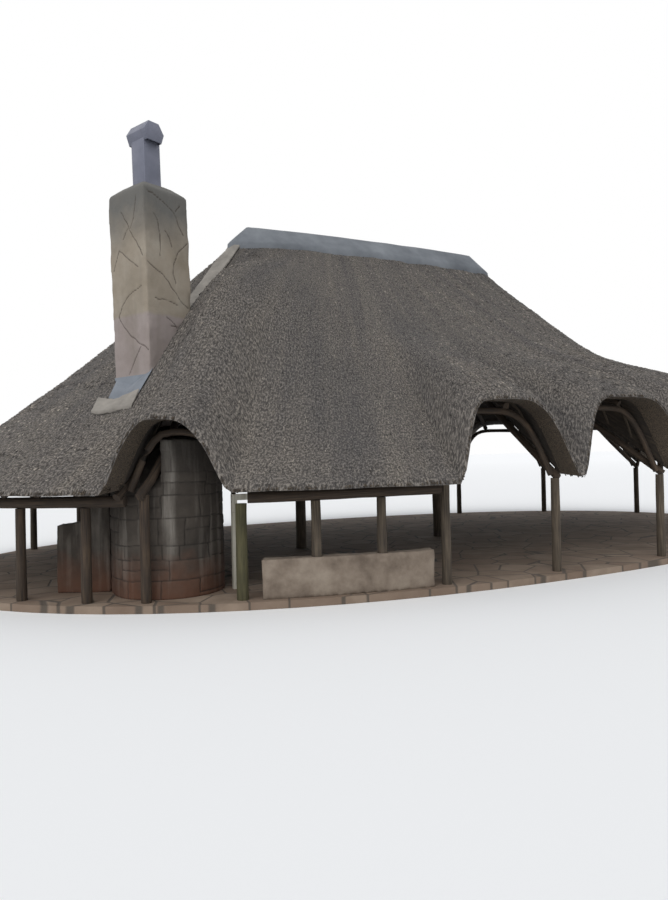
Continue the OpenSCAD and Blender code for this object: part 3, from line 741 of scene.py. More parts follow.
def reed_butts(sector, a, b, seed, model):
    """Bunched reed butts over the whole slope, in courses, each a little out of line."""
    rng = np.random.default_rng(seed)
    ts, ss = [], []
    reach = float(np.hypot(slope_run(np.array((a + b) / 2)), SPAN))
    for row in np.arange(0.0, 0.95 * reach, TUFT_ALONG):
        line = roof_point(np.linspace(a, b, 40), row / reach)
        count = int(way_along(line)[-1] / TUFT_ACROSS)
        spread = (np.arange(count) + rng.random(count)) / count
        ts.append(angle_along(along(a) + (along(b) - along(a)) * spread))
        ss.append(row / reach + (rng.random(count) - 0.5) * TUFT_ALONG * TUFT_JITTER / reach)
    t, s = np.concatenate(ts), np.concatenate(ss)
    s = np.minimum(foot(t) + 0.012 + s * (1 - foot(t)), TUFT_TOP)
    p, n, v = coat_point(t, s)
    down = unit(roof_point(t, s - 0.01) - roof_point(t, s))
    side = unit(np.cross(down, n))
    down = unit(down + side * rng.normal(0, TUFT_TURN, (len(t), 1)) + n * TUFT_RAISED)
    side = unit(np.cross(down, n))
    length = rng.uniform(*TUFT_LENGTH, len(t))[:, None]
    half = rng.uniform(*TUFT_HALF, len(t))[:, None]
    high = rng.uniform(*TUFT_HALF, len(t))[:, None]
    axes = np.stack([-side * half, n * high, down * length], 1)
    tone = np.clip(rng.normal(*TUFT_SHADE, len(t)), 0, 1)
    obj = strewn("butts_" + sector, model, p - down * length * TUFT_SUNK - n * 0.002, axes,
                 np.stack([along(t), v], -1), tone, REED_COAT)
    keep(obj, "thatch")


def stub_model():
    """A cut reed: a thin three-sided stick along Z from its foot at 0 to its end at 1."""
    deselect()
    bpy.ops.mesh.primitive_cone_add(vertices=3, radius1=1, radius2=0.8, depth=1, location=(0, 0, 0.5))
    return settled("stub_model")


def edge_reeds(sector, a, b, seed, model):
    """Reed ends of the cut edge: stubs all over the cut, and a ragged fringe along its outer corner."""
    rng = np.random.default_rng(seed)
    grid = np.linspace(a, b, 800)
    way = way_along(roof_point(grid, foot(grid)))
    stubs = int(way[-1] * STUBS_A_METRE)
    count = stubs + int(way[-1] * FRINGE_A_METRE)
    t = np.interp(rng.random(count) * way[-1], way, grid)
    is_stub = np.arange(count) < stubs

    def drawn(stub, fringe):
        return np.where(is_stub, rng.uniform(*stub, count), rng.uniform(*fringe, count))[:, None]

    q = np.where(is_stub, rng.random(count), rng.random(count) ** 2 * FRINGE_DEPTH)
    outer, _, _ = coat_point(t, foot(t) + 0.001)
    inner = roof_point(t, foot(t) + EDGE_PART, THATCH_DROP)
    p = outer * (1 - q)[:, None] + inner * q[:, None]
    down = unit(roof_point(t, foot(t)) - roof_point(t, foot(t) + 0.02))
    down = unit(down + np.array([0, 0, -REED_DROOP]) + rng.normal(0, REED_SPREAD, (count, 3)))
    side = unit(np.cross(down, [0, 0, 1.0]))
    r = drawn(STUB_R, FRINGE_R)
    out = drawn(STUB_OUT, FRINGE_OUT)
    back = np.where(is_stub, STUB_BACK, FRINGE_BACK)[:, None]
    axes = np.stack([side * r, np.cross(down, side) * r, down * (out + back)], 1)
    obj = strewn("edge_" + sector, model, p - down * back, axes, np.stack([along(t), q * THATCH_DROP], -1),
                 np.clip(rng.normal(*STUB_SHADE, count), 0, 1), REED_ENDS)
    keep(obj, "thatch")


def all_thatch():
    tuft, stub = tuft_model(), stub_model()
    for i, (sector, (a, b)) in enumerate(SECTORS.items()):
        thatch_coat(sector, a, b)
        reed_butts(sector, a, b, 100 + i, tuft)
        edge_reeds(sector, a, b, 200 + i, stub)
        laths(sector, a, b)
    remove(tuft)
    remove(stub)


# Poles
def straight_pole(sides, cuts):
    """A straight pole of radius 1 and length 1 on the origin, cut across so that it can bend."""
    deselect()
    bpy.ops.mesh.primitive_cylinder_add(vertices=sides, radius=1, depth=1, location=(0, 0, 0.5))
    obj = settled("straight_pole")
    start_edit(obj)
    bpy.ops.mesh.select_all(action="DESELECT")
    end_edit()
    for e in obj.data.edges:
        low, high = sorted(obj.data.vertices[i].co.z for i in e.vertices)
        e.select = high - low > 0.5
    bpy.ops.object.mode_set(mode="EDIT")
    bpy.ops.mesh.subdivide(number_cuts=cuts)
    end_edit()
    return obj


def bent_pole(model, path, radii, wobble, knots, seed, index):
    """A copy of the straight pole, bent along a path, with a slight sway and knots."""
    obj = new_object(model.name, model.data.copy())
    path = np.asarray(path, float)
    way = way_along(path)
    length = way[-1]
    local = points_of(obj)
    w = local[:, 2] * length

    def at(places):
        return np.stack([np.interp(places, way, path[:, i]) for i in range(3)], -1)

    middle = at(w)
    ahead = unit(at(np.minimum(w + 0.05, length)) - at(np.maximum(w - 0.05, 0)))
    upright = np.abs(ahead[:, 2:3]) > 0.9
    side = unit(np.cross(ahead, np.where(upright, [[1.0, 0, 0]], [[0, 0, 1.0]])))
    up = np.cross(side, ahead)
    tag = path[0] * 7 + index
    fade = np.minimum(1, np.minimum(local[:, 2], 1 - local[:, 2]) * 8)[:, None]
    sway = np.stack([noise(middle + tag + k * 13.1, 0.8, seed + k) for k in range(3)], -1) * wobble * fade
    r = np.interp(local[:, 2], (0, 1), radii) * (1 + knots * noise(middle + tag, 0.22, seed + 5))
    set_points(obj, middle + sway + r[:, None] * (local[:, :1] * side + local[:, 1:2] * up))
    angle = np.arctan2(local[:, 1], local[:, 0])
    set_grain(obj, np.stack([np.abs(angle) * radii[0] + index * 1.7, w + index * 0.9], -1))
    return obj


def poles(name, paths, radii, material, sides=10, step=0.25, wobble=0.006, knots=0.06, seed=0,
          slot="gum_pole", nodes=None):
    """Round poles along paths, as one piece. radii holds the radius at their start and at their end."""
    longest = max(way_along(path)[-1] for path in paths)
    model = straight_pole(sides, max(1, int(longest / step)))
    bent = [bent_pole(model, path, radii, wobble, knots, seed, i) for i, path in enumerate(paths)]
    remove(model)
    obj = joined(name + "_finish", bent)
    dress(obj.data, material)
    face_out(obj)
    smooth(obj, 50)
    keep(obj, slot, *([name] if nodes is None else nodes))


DRUM_XY = eave_xy(DRUM_ANGLE, DRUM_INSET)
STACK_XY = DRUM_XY + STACK_BEHIND * heading(STACK_WAY)
STACK_REACH = STACK_W * 0.71 + RAFTER_R
RAFTER_FULL, RAFTER_SHORT, RAFTER_MID = 0.9, 0.68, 0.96
RAFTER_TAIL, LEVEL_TAIL, RAFTER_TAPER = 0.9, 0.8, 0.8


def from_eave(xy, t):
    """How far a place lies off the line up the slope at t, and at what part of that line."""
    e, way = eave_xy(t), ridge_xy(t) - eave_xy(t)
    off = (way[0] * (xy - e)[1] - way[1] * (xy - e)[0]) / np.linalg.norm(way)
    return off, float((xy - e) @ way / (way @ way))


def rafter_end(t, index):
    """Part of the slope where a rafter ends: at the stack, short where they crowd, or near the ridge."""
    off, part = from_eave(STACK_XY, t)
    if -179 < t < -91 and abs(off) < STACK_REACH:
        return part - STACK_REACH / float(slope_run(t))
    if abs(math.cos(math.radians(t))) > 0.75:
        return RAFTER_FULL if index % 2 == 0 else RAFTER_SHORT
    return RAFTER_MID


def rafter_path(t, index, raised=True):
    inside = part_inside(t, POST_INSET)
    low = foot(t) + inside * RAFTER_TAIL if raised else inside * LEVEL_TAIL
    way = np.linspace(float(low), rafter_end(t, index), 24)
    return roof_point(t, way, THATCH_DROP + RAFTER_DROP, raised)


def thirds(arches):
    return [a + (b - a) * k / 3 for a, b, *_ in arches for k in range(3)]


def even(a, b, count):
    return [a + (b - a) * (k + 0.5) / count for k in range(count)]


RAFTERS = {
    "front_left": [-152, -146, -140, -126.5, -121.5, -116, -110.5, -105],
    "front_right": thirds(ARCADE[:4]), "right_end": thirds(ARCADE[4:7]), "back_right": thirds(ARCADE[7:]),
    "back_left": even(99, 155, 10), "left_end": even(155, 205, 8),
}
LEVEL_RAFTERS = [-134.4, -131.7]


def rafters(sector):
    paths = [rafter_path(t, i) for i, t in enumerate(RAFTERS[sector])]
    if sector == "front_left":
        paths += [rafter_path(t, 0, False) for t in LEVEL_RAFTERS]
    poles("rafters_" + sector, paths, (RAFTER_R, RAFTER_R * RAFTER_TAPER), GUM_POLE,
          step=0.3, wobble=0.008, knots=0.08, seed=11)


LATH_STEP, LATH_GAP = 0.33, 0.003
LATH_LOW, LATH_HIGH, LATH_CLEAR = 0.02, 0.92, 0.015


def laths(sector, a, b):
    """Thin poles across the rafters, in the gap between them and the reeds."""
    reach = float(slope_run(np.array((a + b) / 2.0)))
    paths = []
    for s in np.arange(LATH_LOW + EDGE_PART, LATH_HIGH, LATH_STEP / reach):
        t = columns(a, b, 0.14 * (1 + 2 * s))
        low = foot(t) + EDGE_PART + LATH_CLEAR
        line = roof_point(t, np.maximum(low, s), THATCH_DROP + LATH_R + LATH_GAP)
        kept = np.maximum(low, s) <= s + 0.001
        if sector == "front_left":
            kept &= np.linalg.norm(line[:, :2] - STACK_XY, axis=1) > STACK_REACH
        first, *others = np.split(line, np.nonzero(~kept)[0])
        paths += [run for run in [first] + [run[1:] for run in others] if len(run) > 2]
    poles("laths_" + sector, paths, (LATH_R, LATH_R), GREY_POLE, sides=5, step=0.3, wobble=0.004,
          knots=0.12, seed=23, nodes=())


def ribs(name, arches):
    """Bent poles that follow the arches, from one post to the next."""
    paths = []
    for a, b, *_ in arches:
        t = (a + b) / 2 - (b - a) / 2 * RIB_REACH * np.cos(np.radians(np.linspace(0, 180, 30)))
        down = THATCH_DROP + RAFTER_DROP + RAFTER_R + RIB_R
        paths.append(roof_point(t, foot(t) + part_inside(t, POST_INSET), down))
    poles(name, paths, (RIB_R, RIB_R), GUM_POLE, step=0.12, wobble=0.003, knots=0.05, seed=31)


def eave_line(t, down):
    return roof_point(t, part_inside(t, POST_INSET), THATCH_DROP + down, raised=False)


def eave_beam(name, a, b):
    path = eave_line(np.linspace(a, b, 40), BEAM_DROP)
    poles(name, [path], (EAVE_BEAM_R, EAVE_BEAM_R), GUM_POLE, sides=12, wobble=0.004, knots=0.05, seed=37)


UNDER_BEAM, UNDER_RAFTER = BEAM_DROP + EAVE_BEAM_R, RAFTER_DROP + RAFTER_R


def post_path(t, down):
    top = eave_line(np.array(float(t)), down)
    return np.linspace([top[0], top[1], FLOOR_Z], top, 12)


def posts(name, angles, down, material=GREY_POLE):
    paths = [post_path(t, down) for t in angles]
    poles(name, paths, (POST_R * 1.04, POST_R * 0.97), material, sides=16, step=0.1, wobble=0.004,
          knots=0.05, seed=41)


RIDGE_POLE_SHORT, RIDGE_POLE_DOWN, KING_INSET = 0.3, 0.15, 0.5


def all_poles():
    for sector in SECTORS:
        rafters(sector)
    ribs("arch_ribs_front", ARCADE[:4])
    ribs("arch_ribs_right", ARCADE[4:7])
    ribs("arch_ribs_back", ARCADE[7:])
    ribs("hearth_arch_rib", [HEARTH_ARCH])
    eave_beam("eave_beam_front", -120.2, -99.6)
    eave_beam("eave_beam_left", -205, -134)
    eave_beam("eave_beam_back", 99.6, 154.6)
    poles("pale_post", [post_path(-120.9, UNDER_BEAM)], (PALE_POST_R * 1.03, PALE_POST_R * 0.98), PALE_POLE,
          sides=18, step=0.1, wobble=0.004, knots=0.04, seed=43, slot="pale_timber", nodes=["posts_front"])
    posts("hearth_posts", [-131.7], UNDER_RAFTER, GUM_POLE)
    posts("posts_front", [-113, -106], UNDER_BEAM)
    posts("posts_left", [-139.2, -149.3, -160, -171, 178, 167], UNDER_BEAM, GUM_POLE)
    posts("posts_back", [155, 143.5, 132, 120.5, 109.5], UNDER_BEAM)
    posts("arcade_posts_front", LEGS[:4], UNDER_RAFTER)
    posts("arcade_posts_right", LEGS[4:8], UNDER_RAFTER)
    posts("arcade_posts_back", LEGS[8:], UNDER_RAFTER)
    half, z = RIDGE_LENGTH / 2 - RIDGE_POLE_SHORT, RIDGE_Z - RIDGE_POLE_DOWN
    ridge = np.linspace([RIDGE_X - half, RIDGE_Y, z], [RIDGE_X + half, RIDGE_Y, z], 20)
    poles("ridge_pole", [ridge], (RIDGE_POLE_R, RIDGE_POLE_R), GUM_POLE, sides=14, wobble=0.004)
    kings = [np.linspace([x, RIDGE_Y, FLOOR_Z], [x, RIDGE_Y, z - RIDGE_POLE_R], 30)
             for x in (RIDGE_X - half + KING_INSET, RIDGE_X + half - KING_INSET)]
    poles("king_posts", kings, (KING_POST_R * 1.05, KING_POST_R * 0.93), GREY_POLE, sides=18, step=0.15,
          knots=0.05, seed=47)


# Ridge cap: a thick smooth coat of mortar over the top of the thatch
CAP_FROM, CAP_T, CAP_SUNK = 0.925, 0.055, 0.03
CAP_ROWS, CAP_ROUND, CAP_WAVE = 9, 5, 0.006


def ridge_cap():
    """A grid rolled round the top of the roof: from a line under the ridge, down, out and up over it."""
    t = np.linspace(-180, 180, 361)
    lower = CAP_FROM + CAP_WAVE * noise(roof_point(t, 0.93), 0.35, 61)
    tt, jj = np.meshgrid(t, np.linspace(0, 1, CAP_ROWS), indexing="ij")
    s = lower[:, None] + (1 - lower[:, None]) * jj
    top = roof_point(tt, s)
    n = roof_normal(tt, np.minimum(s, 0.99))
    lift = CAP_T * np.sqrt(np.clip(1 - (1 - np.minimum(jj * CAP_ROUND, 1)) ** 2, 0, 1))
    top = top + n * (lift + CAP_WAVE * noise(top, 0.3, 62))[..., None]
    top[:, -1, 2] = np.maximum(top[:, -1, 2], RIDGE_Z + 0.03)
    bottom = roof_point(tt[:, ::-1], s[:, ::-1], CAP_SUNK)

    def ridge_line(z):
        return np.stack([ridge_xy(t)[:, 0], np.full(len(t), RIDGE_Y), np.full(len(t), z)], -1)[:, None]

    under, over = ridge_line(RIDGE_Z - 2 * CAP_SUNK), ridge_line(RIDGE_Z + CAP_T)
    points = np.concatenate([under, bottom, top, over], 1)
    points[-1] = points[0]
    way = np.broadcast_to(along(t)[:, None], points.shape[:2])
    rows = np.broadcast_to(np.arange(points.shape[1]) * 0.05, points.shape[:2])
    obj = grid_on("ridge_cap_finish", points, np.stack([way, rows], -1), None, [RIDGE_MORTAR])
    close_shell(obj, open_ends=False)
    keep(obj, "ridge_mortar", "ridge_cap")


# Masonry: each piece starts as a copy of its CAD node, remeshed fine
def node_copy(node):
    """A merged copy of a CAD node's mesh, with no materials."""
    obj = new_object(node + "_finish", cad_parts[node].data.copy())
    dress(obj.data)
    start_edit(obj)
    bpy.ops.mesh.remove_doubles(threshold=0.0002)
    end_edit()
    return obj


def remeshed(voxel, *nodes):
    """A fine even mesh of a CAD node, or of several that are one piece to the eye."""
    obj = joined(nodes[0] + "_finish", [node_copy(node) for node in nodes])
    modify(obj, "REMESH", mode="VOXEL", voxel_size=voxel)
    obj.data.polygons.foreach_set("use_smooth", np.full(len(obj.data.polygons), True))
    return obj


def thinned(obj, scored, share):
    """Fewer faces, where no line is scored. scored holds the depth of the lines at each point."""
    modify(obj, "DECIMATE", ratio=share, vertex_group=group_of(obj, "plain", scored <= 0))


def stack_frame(p):
    """Places in the stack's own turned and leaning frame."""
    x, y, z = (p - [*STACK_XY, LEAN_Z]).T
    c, s = heading(STACK_LEAN)
    x, z = x * c + z * s, -x * s + z * c
    c, s = heading(STACK_TURN)
    return np.stack([x * c + y * s, -x * s + y * c, z + LEAN_Z], -1)


# Scored lines of the stack: for each face, lines of (share of the width from the left, height)
LEFT_FACE_LINES = [
    [(0.83, 4.78), (0.76, 4.60), (0.64, 4.42)],
    [(0.54, 4.41), (0.41, 4.30)],
    [(0.37, 4.64), (0.57, 4.44), (0.79, 4.20), (0.95, 4.04)],
    [(0.28, 4.18), (0.48, 4.07), (0.79, 3.91)],
    [(0.28, 4.18), (0.17, 4.05), (0.08, 3.94)],
    [(0.86, 3.68), (0.51, 3.61), (0.30, 3.50), (0.17, 3.37)],
    [(0.17, 3.37), (0.30, 3.23), (0.63, 3.06), (0.98, 2.91)],
    [(0.79, 2.96), (0.63, 2.84), (0.52, 2.74), (0.42, 2.65)],
]
RIGHT_FACE_LINES = [
    [(0.08, 4.81), (0.43, 4.74), (0.67, 4.64), (0.79, 4.50), (0.89, 4.39)],
    [(0.71, 4.67), (0.82, 4.75)],
    [(0.22, 4.58), (0.30, 4.46), (0.33, 4.32), (0.31, 4.07)],
    [(0.45, 4.40), (0.56, 4.32), (0.59, 4.21)],
    [(0.96, 4.30), (0.75, 4.17), (0.62, 4.01), (0.59, 3.88), (0.64, 3.76)],
    [(0.02, 3.96), (0.34, 3.85), (0.49, 3.76), (0.63, 3.66), (0.78, 3.54), (0.93, 3.48)],
    [(0.16, 3.55), (0.43, 3.53), (0.67, 3.50)],
    [(0.41, 3.33), (0.55, 3.26), (0.64, 3.18)],
    [(0.49, 3.22), (0.66, 3.21), (0.84, 3.31)],
]


def line_distance(u, z, line):
    best = np.full(len(u), np.inf)
    for (u0, z0), (u1, z1) in zip(line, line[1:]):
        du, dz = u1 - u0, z1 - z0
        k = np.clip(((u - u0) * du + (z - z0) * dz) / (du * du + dz * dz), 0, 1)
        best = np.minimum(best, np.hypot(u - u0 - k * du, z - z0 - k * dz))
    return best


LINE_HALF, LINE_DEEP = 0.0045, 0.007
# Each face of the stack, by where it looks, and its lines. The far faces repeat the near ones
STACK_FACES = [(-1, 0, LEFT_FACE_LINES), (0, -1, RIGHT_FACE_LINES),
               (1, 0, LEFT_FACE_LINES), (0, 1, RIGHT_FACE_LINES)]
STACK_VOXEL, STACK_SHARE = 0.0125, 0.5
TOP_ROUND, TOP_LIFT, PLASTER_PROUD, WORN_EDGE = 0.10, 0.03, 0.014, 0.05
BESIDE_DUCT, OUTSIDE_DUCT = 0.14, 0.16


def scored_lines(q):
    """Depth from 0 to 1 of the lines in the stack's faces, at places in its own frame."""
    half = STACK_W / 2
    waver = 0.012 * noise(q, 0.09, 71)
    depth = np.zeros(len(q))
    for fx, fy, lines in STACK_FACES:
        on = (np.abs(q[:, :2]).max(1) > half - 0.05) & (q[:, 0] * fx + q[:, 1] * fy > half - 0.03)
        u = (q[:, 1] * fx if fx else q[:, 0] * -fy) + half
        for line in lines:
            d = line_distance(u + waver, q[:, 2] + waver, [(share * STACK_W, z) for share, z in line])
            depth = np.maximum(depth, np.where(on, np.clip(1.7 - d / LINE_HALF, 0, 1), 0))
    return depth


def chimney_stack():
    """The stack with its mortar top: scored faces, worn edges and round weathered shoulders."""
    obj = remeshed(STACK_VOXEL, "chimney_stack", "chimney_crown")
    q = stack_frame(points_of(obj))
    shoulders = (q[:, 2] > STACK_TOP - TOP_ROUND) & (np.abs(q[:, :2]).max(1) > BESIDE_DUCT)
    modify(obj, "SMOOTH", factor=0.5, iterations=16, vertex_group=group_of(obj, "shoulders", shoulders))
    p, n = points_of(obj), normals_of(obj)
    q = stack_frame(p)
    crack = scored_lines(q)
    worn = np.clip((np.abs(q[:, 0]) + np.abs(q[:, 1]) - (STACK_W - WORN_EDGE)) / WORN_EDGE, 0, 1)
    move = waves(p, (0.006, 0.25, 72), (0.0025, 0.06, 73)) - LINE_DEEP * crack
    move = move + PLASTER_PROUD - worn * (0.006 + 0.008 * noise(p, 0.12, 74))
    p = p + n * np.where(np.abs(q[:, :2]).max(1) > OUTSIDE_DUCT, move, 0)[:, None]
    p[:, 2] += TOP_LIFT * np.clip((q[:, 2] - STACK_TOP + TOP_ROUND) / TOP_ROUND, 0, 1)
    set_points(obj, p)
    set_attribute(obj, "crack", crack)
    thinned(obj, crack, STACK_SHARE)
    dress(obj.data, CARVED_PLASTER)
    keep(obj, "plaster", "chimney_stack", "chimney_crown")


# Scored blocks of the fireplace: heights of the courses, then block edges along the wall
COURSES = (0.0, 0.28, 0.5, 0.66, 0.95, 1.2, 1.45, 1.85)
BLOCK_WIDTH, WALL_REACH = (0.2, 0.6), 4.0
JOINT_HALF, JOINT_DEEP = 0.005, 0.009
# Painted highlight down the fireplace's front: its place along the wall and its half width
HIGHLIGHT_RUN, HIGHLIGHT_RUN_HALF = -0.11, 0.06
DRUM_VOXEL, DRUM_SHARE = 0.012, 0.42


def wall_way(p):
    """Way along the fireplace's outline, from the front of its round end, left and right."""
    d = p[:, :2] - DRUM_XY
    ahead = heading(STACK_WAY)
    x, y = d @ ahead, d @ [-ahead[1], ahead[0]]
    quarter = DRUM_R * math.pi / 2
    back = STACK_BEHIND + STACK_W * 0.6
    side = np.sign(y)
    on_side = -side * (quarter + x)
    on_back = -side * (quarter + back + DRUM_R) + y
    return np.where(x < 0, DRUM_R * np.arctan2(-y, -x), np.where(x > back - 0.02, on_back, on_side))


def block_edges():
    """For each course its heights, the ends of its blocks, their shades, and which are split and where."""
    rng = np.random.default_rng(83)
    for low, high in zip(COURSES, COURSES[1:]):
        row = [-WALL_REACH + rng.uniform(0, 0.2)]
        while row[-1] < WALL_REACH:
            row.append(row[-1] + rng.uniform(*BLOCK_WIDTH))
        count = len(row)
        yield low, high, np.array(row), rng.random(count), rng.random(count), rng.uniform(0.4, 0.6, count)


def scored_blocks(p, w, waver):
    """Depth from 0 to 1 of the joints between the blocks, and the shade of each block."""
    z, up, way = p[:, 2], p[:, 2] + waver * 0.6, w + waver
    joint, tone = np.zeros(len(p)), np.full(len(p), 0.5)
    for low, high, row, shade, split, place in block_edges():
        on = (z >= low) & (z < high)
        k = np.clip(np.searchsorted(row, way) - 1, 0, len(row) - 2)
        middle = low + (high - low) * place[k]
        halved = (split[k] > 0.62) & (high - low > 0.2)
        d = np.abs([way - row[k], row[k + 1] - way, up - low, high - up]).min(0)
        d = np.where(halved, np.minimum(d, np.abs(up - middle)), d)
        joint = np.where(on, np.clip(1.6 - d / JOINT_HALF, 0, 1), joint)
        tone = np.where(on, np.where(halved & (z > middle), 1 - shade[k], shade[k]), tone)
    return joint, tone


def fireplace_drum():
    """The round fireplace: plaster scored as blocks, with a painted highlight as a pale run down its front.
    """
    obj = remeshed(DRUM_VOXEL, "fireplace_drum")
    p, n = points_of(obj), normals_of(obj)
    w, z = wall_way(p), p[:, 2]
    joint, tone = scored_blocks(p, w, waves(p, (0.022, 0.2, 81), (0.006, 0.05, 85)))
    upright = np.abs(n[:, 2]) < 0.5
    joint = np.where(upright, joint, 0) * np.clip((1.55 - z) / 0.15, 0.3, 1)
    # Painted highlight: a pale mask down the drum's front, from 0.4 m up, stands in for light on its curve
    run = np.abs(w - HIGHLIGHT_RUN + 0.03 * noise(p, 0.35, 86)) / HIGHLIGHT_RUN_HALF
    pale = np.where(upright, np.clip(1.6 - run, 0, 1), 0) * np.clip((z - 0.4) / 0.4, 0, 1)
    move = waves(p, (0.006, 0.2, 82), (0.003, 0.05, 84)) + (tone - 0.5) * 0.004 - JOINT_DEEP * joint
    set_points(obj, p + n * move[:, None])
    for name, values in (("joint", joint), ("tone", tone), ("pale", pale)):
        set_attribute(obj, name, values)
    thinned(obj, joint, DRUM_SHARE)
    dress(obj.data, SCORED_PLASTER)
    keep(obj, "carved_plaster", "fireplace_drum")


def rough_masonry(node, voxel, material, slot="carved_plaster", lump=0.012):
    obj = remeshed(voxel, node)
    p, n = points_of(obj), normals_of(obj)
    set_points(obj, p + n * waves(p, (lump, 0.22, 91), (lump * 0.4, 0.06, 92))[:, None])
    set_attribute(obj, "tone", 0.5 + 0.3 * noise(p, 0.5, 93))
    dress(obj.data, material)
    keep(obj, slot, node)
    return obj


# What seals the chimney to the thatch, laid on the roof's surface
def stack_plane(u, v):
    """World place of a point given in the stack's own turned plan."""
    c, s = heading(STACK_TURN)
    return STACK_XY + np.stack([u * c - v * s, u * s + v * c], -1)


def roof_height(xy):
    """Height of the roof's surface over places near the chimney."""
    t = np.linspace(-165, -95, 1400)
    e, way = eave_xy(t), ridge_xy(t) - eave_xy(t)
    rel = xy[:, None] - e
    off = np.abs(way[:, 0] * rel[..., 1] - way[:, 1] * rel[..., 0]) / np.linalg.norm(way, axis=1)
    k = off.argmin(1)
    part = (rel[np.arange(len(k)), k] * way[k]).sum(-1) / (way[k] ** 2).sum(-1)
    return roof_point(t[k], part)[:, 2]


def slid_on_roof(obj, du, dv):
    """Moves a piece's points along the roof, by distances in the stack's plan."""
    p = points_of(obj)
    xy = p[:, :2] + stack_plane(du, dv) - STACK_XY
    p[:, 2] += roof_height(xy) - roof_height(p[:, :2])
    p[:, :2] = xy
    set_points(obj, p)


SADDLE_STRETCH, SADDLE_TURN = 0.22, 0.16
SCOOP_SHIFT = (0.03, -0.07)


def chimney_saddle():
    """The strip of mortar from the stack up to the ridge cap."""
    obj = rough_masonry("chimney_saddle", 0.014, PALE_MORTAR, "plaster", lump=0.008)
    far = np.maximum(stack_frame(points_of(obj))[:, 0] - STACK_W / 2, 0) * SADDLE_STRETCH
    slid_on_roof(obj, far, far * SADDLE_TURN)


def mortar_scoop():
    obj = rough_masonry("mortar_scoop", 0.012, PALE_MORTAR, "plaster", lump=0.008)
    slid_on_roof(obj, *np.tile(np.array(SCOOP_SHIFT)[:, None], len(obj.data.vertices)))


# Sheet metal
TRAY_ROWS = 12
TRAY_LIFT, SHEET_T = 0.024, 0.004
UPSTAND_LOW, UPSTAND_TOP, UPSTAND_DEPTH = 2.3, 2.62, 0.03


def fold(obj, width, segments, angle):
    """Bends a sheet's corners to a narrow round."""
    modify(obj, "BEVEL", width=width, segments=segments, limit_method="ANGLE",
           angle_limit=math.radians(angle))
    smooth(obj, 40)


def flashing_tray():
    """A sheet on the thatch below the stack, narrower at its outlet."""
    half = STACK_W / 2
    near = np.array([[-half + 0.02, half - 0.01], [-half + 0.02, -half - 0.02]])
    outlet = np.array([[-half - 0.27, half - 0.21], [-half - 0.22, -half - 0.05]])
    share = np.linspace(0, 1, TRAY_ROWS)
    i, j = share[:, None, None], share[None, :, None]
    plan = (near[0] * (1 - i) + near[1] * i) * (1 - j) + (outlet[0] * (1 - i) + outlet[1] * i) * j
    xy = stack_plane(plan[..., 0], plan[..., 1])
    z = roof_height(xy.reshape(-1, 2)).reshape(TRAY_ROWS, TRAY_ROWS, 1) + TRAY_LIFT
    obj = grid_on("flashing_tray", np.concatenate([xy, z], -1), plan)
    modify(obj, "SOLIDIFY", thickness=SHEET_T)
    return obj


def flashing_upstand():
    """A sheet that stands against the stack's left face, with a straight level top."""
    deselect()
    bpy.ops.mesh.primitive_cube_add(size=1)
    obj = settled("flashing_upstand")
    c = points_of(obj)
    u = -STACK_W / 2 - PLASTER_PROUD - SHEET_T + (c[:, 0] + 0.5) * UPSTAND_DEPTH
    v = c[:, 1] * (STACK_W + 0.02)
    z = UPSTAND_LOW + (c[:, 2] + 0.5) * (UPSTAND_TOP - UPSTAND_LOW)
    set_points(obj, np.concatenate([stack_plane(u, v), z[:, None]], 1))
    set_grain(obj, np.stack([v, z], -1))
    return obj


def chimney_flashing():
    obj = joined("chimney_flashing_finish", [flashing_tray(), flashing_upstand()])
    face_out(obj)
    fold(obj, width=0.0015, segments=2, angle=30)
    dress(obj.data, FLASHING_METAL)
    keep(obj, "sheet_metal", "chimney_flashing")


def folded_metal(node, width, segments):
    """A copy of a CAD node with folded corners."""
    obj = node_copy(node)
    fold(obj, width, segments, angle=25)
    dress(obj.data, DUCT_METAL)
    keep(obj, "sheet_metal", node)


# Light, floor and camera
SOFT_SKY, WHITE_SKY = ((0.93, 0.96, 1.0, 1), 0.56), ((1, 1, 1, 1), 1.0)
SUN_ENERGY, SUN_ANGLE, SUN_TURN = 1.8, 60, (30, -34, 0)
FLOOR_SIZE, FLOOR_PALES = 600, (15, 90)


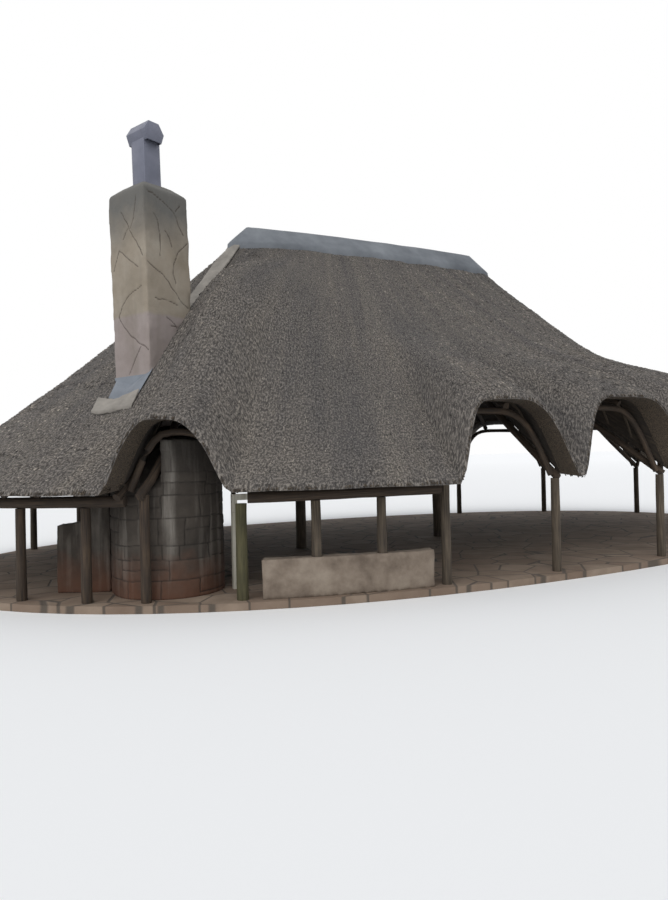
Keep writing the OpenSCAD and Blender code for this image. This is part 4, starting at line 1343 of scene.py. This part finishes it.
def scene_light():
    """A plain soft sky that shows as white, and a soft high sun."""
    world = bpy.data.worlds.new("sky")
    bpy.context.scene.world = world
    sky = Nodes(world)
    sky.tree.nodes.clear()
    seen = sky.node("LightPath", "Is Camera Ray")
    for kind in ("Is Glossy Ray", "Is Transmission Ray"):
        seen = sky.math("MAXIMUM", seen, sky.node("LightPath", kind))
    soft, white = [sky.node("Background", 0, {"Color": colour, "Strength": strength})
                   for colour, strength in (SOFT_SKY, WHITE_SKY)]
    mixed = sky.node("MixShader", 0, {"Fac": seen, 1: soft, 2: white})
    sky.put(sky.tree.nodes.new("ShaderNodeOutputWorld").inputs["Surface"], mixed)
    deselect()
    turn = [math.radians(a) for a in SUN_TURN]
    bpy.ops.object.light_add(type="SUN", location=(-6, -8, 20), rotation=turn)
    sun = bpy.context.object
    sun.name = "soft_sun"
    sun.data.energy = SUN_ENERGY
    sun.data.angle = math.radians(SUN_ANGLE)


def scene_floor():
    """A plain pale floor that fades towards the white round it."""
    deselect()
    bpy.ops.mesh.primitive_plane_add(size=FLOOR_SIZE, location=(0, 0, -0.002))
    floor = bpy.context.object
    floor.name = "studio_floor"
    f = Finish("studio_floor", 0.9)
    away = f.node("VectorMath", "Value", {0: f.place()}, operation="LENGTH")
    pale = f.ramp(f.span(away, *FLOOR_PALES), (0.0, (0.9, 0.9, 0.9, 1)), (1.0, (1, 1, 1, 1)))
    dress(floor.data, f.done(pale))


CAMERA_AT = (-6.44, -10.595, 1.6)
CAMERA_AZIMUTH, CAMERA_PITCH, CAMERA_ROLL = 26.0, 0.4, -1.3
CAMERA_LENS = 27.6


def scene_camera():
    cam = new_object("camera", bpy.data.cameras.new("camera"))
    cam.data.lens = CAMERA_LENS
    cam.data.sensor_width = 36
    cam.data.clip_end = 500
    az, pitch = math.radians(CAMERA_AZIMUTH), math.radians(CAMERA_PITCH)
    look = Vector((math.sin(az) * math.cos(pitch), math.cos(az) * math.cos(pitch), math.sin(pitch)))
    turn = look.to_track_quat("-Z", "Y").to_matrix().to_4x4()
    turn = turn @ Matrix.Rotation(math.radians(CAMERA_ROLL), 4, "Z")
    cam.matrix_world = Matrix.Translation(CAMERA_AT) @ turn
    bpy.context.scene.camera = cam


def build():
    scene_camera()
    scene_light()
    scene_floor()
    all_thatch()
    all_poles()
    ridge_cap()
    chimney_stack()
    fireplace_drum()
    rough_masonry("hearth_side_wall", 0.02, SCORED_PLASTER)
    rough_masonry("smoke_hood", 0.025, SCORED_PLASTER)
    rough_masonry("front_low_wall", 0.02, WALL_PLASTER, lump=0.008)
    mortar_scoop()
    chimney_saddle()
    folded_metal("flue_duct", width=0.006, segments=2)
    folded_metal("flue_hood", width=0.012, segments=3)
    chimney_flashing()
    dress(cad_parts["floor_slab"].data, STONE_FLOOR)
    dress(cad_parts["hatch_frame"].data, PALE_PAINT)


build()
bpy.context.scene.view_settings.view_transform = "Standard"
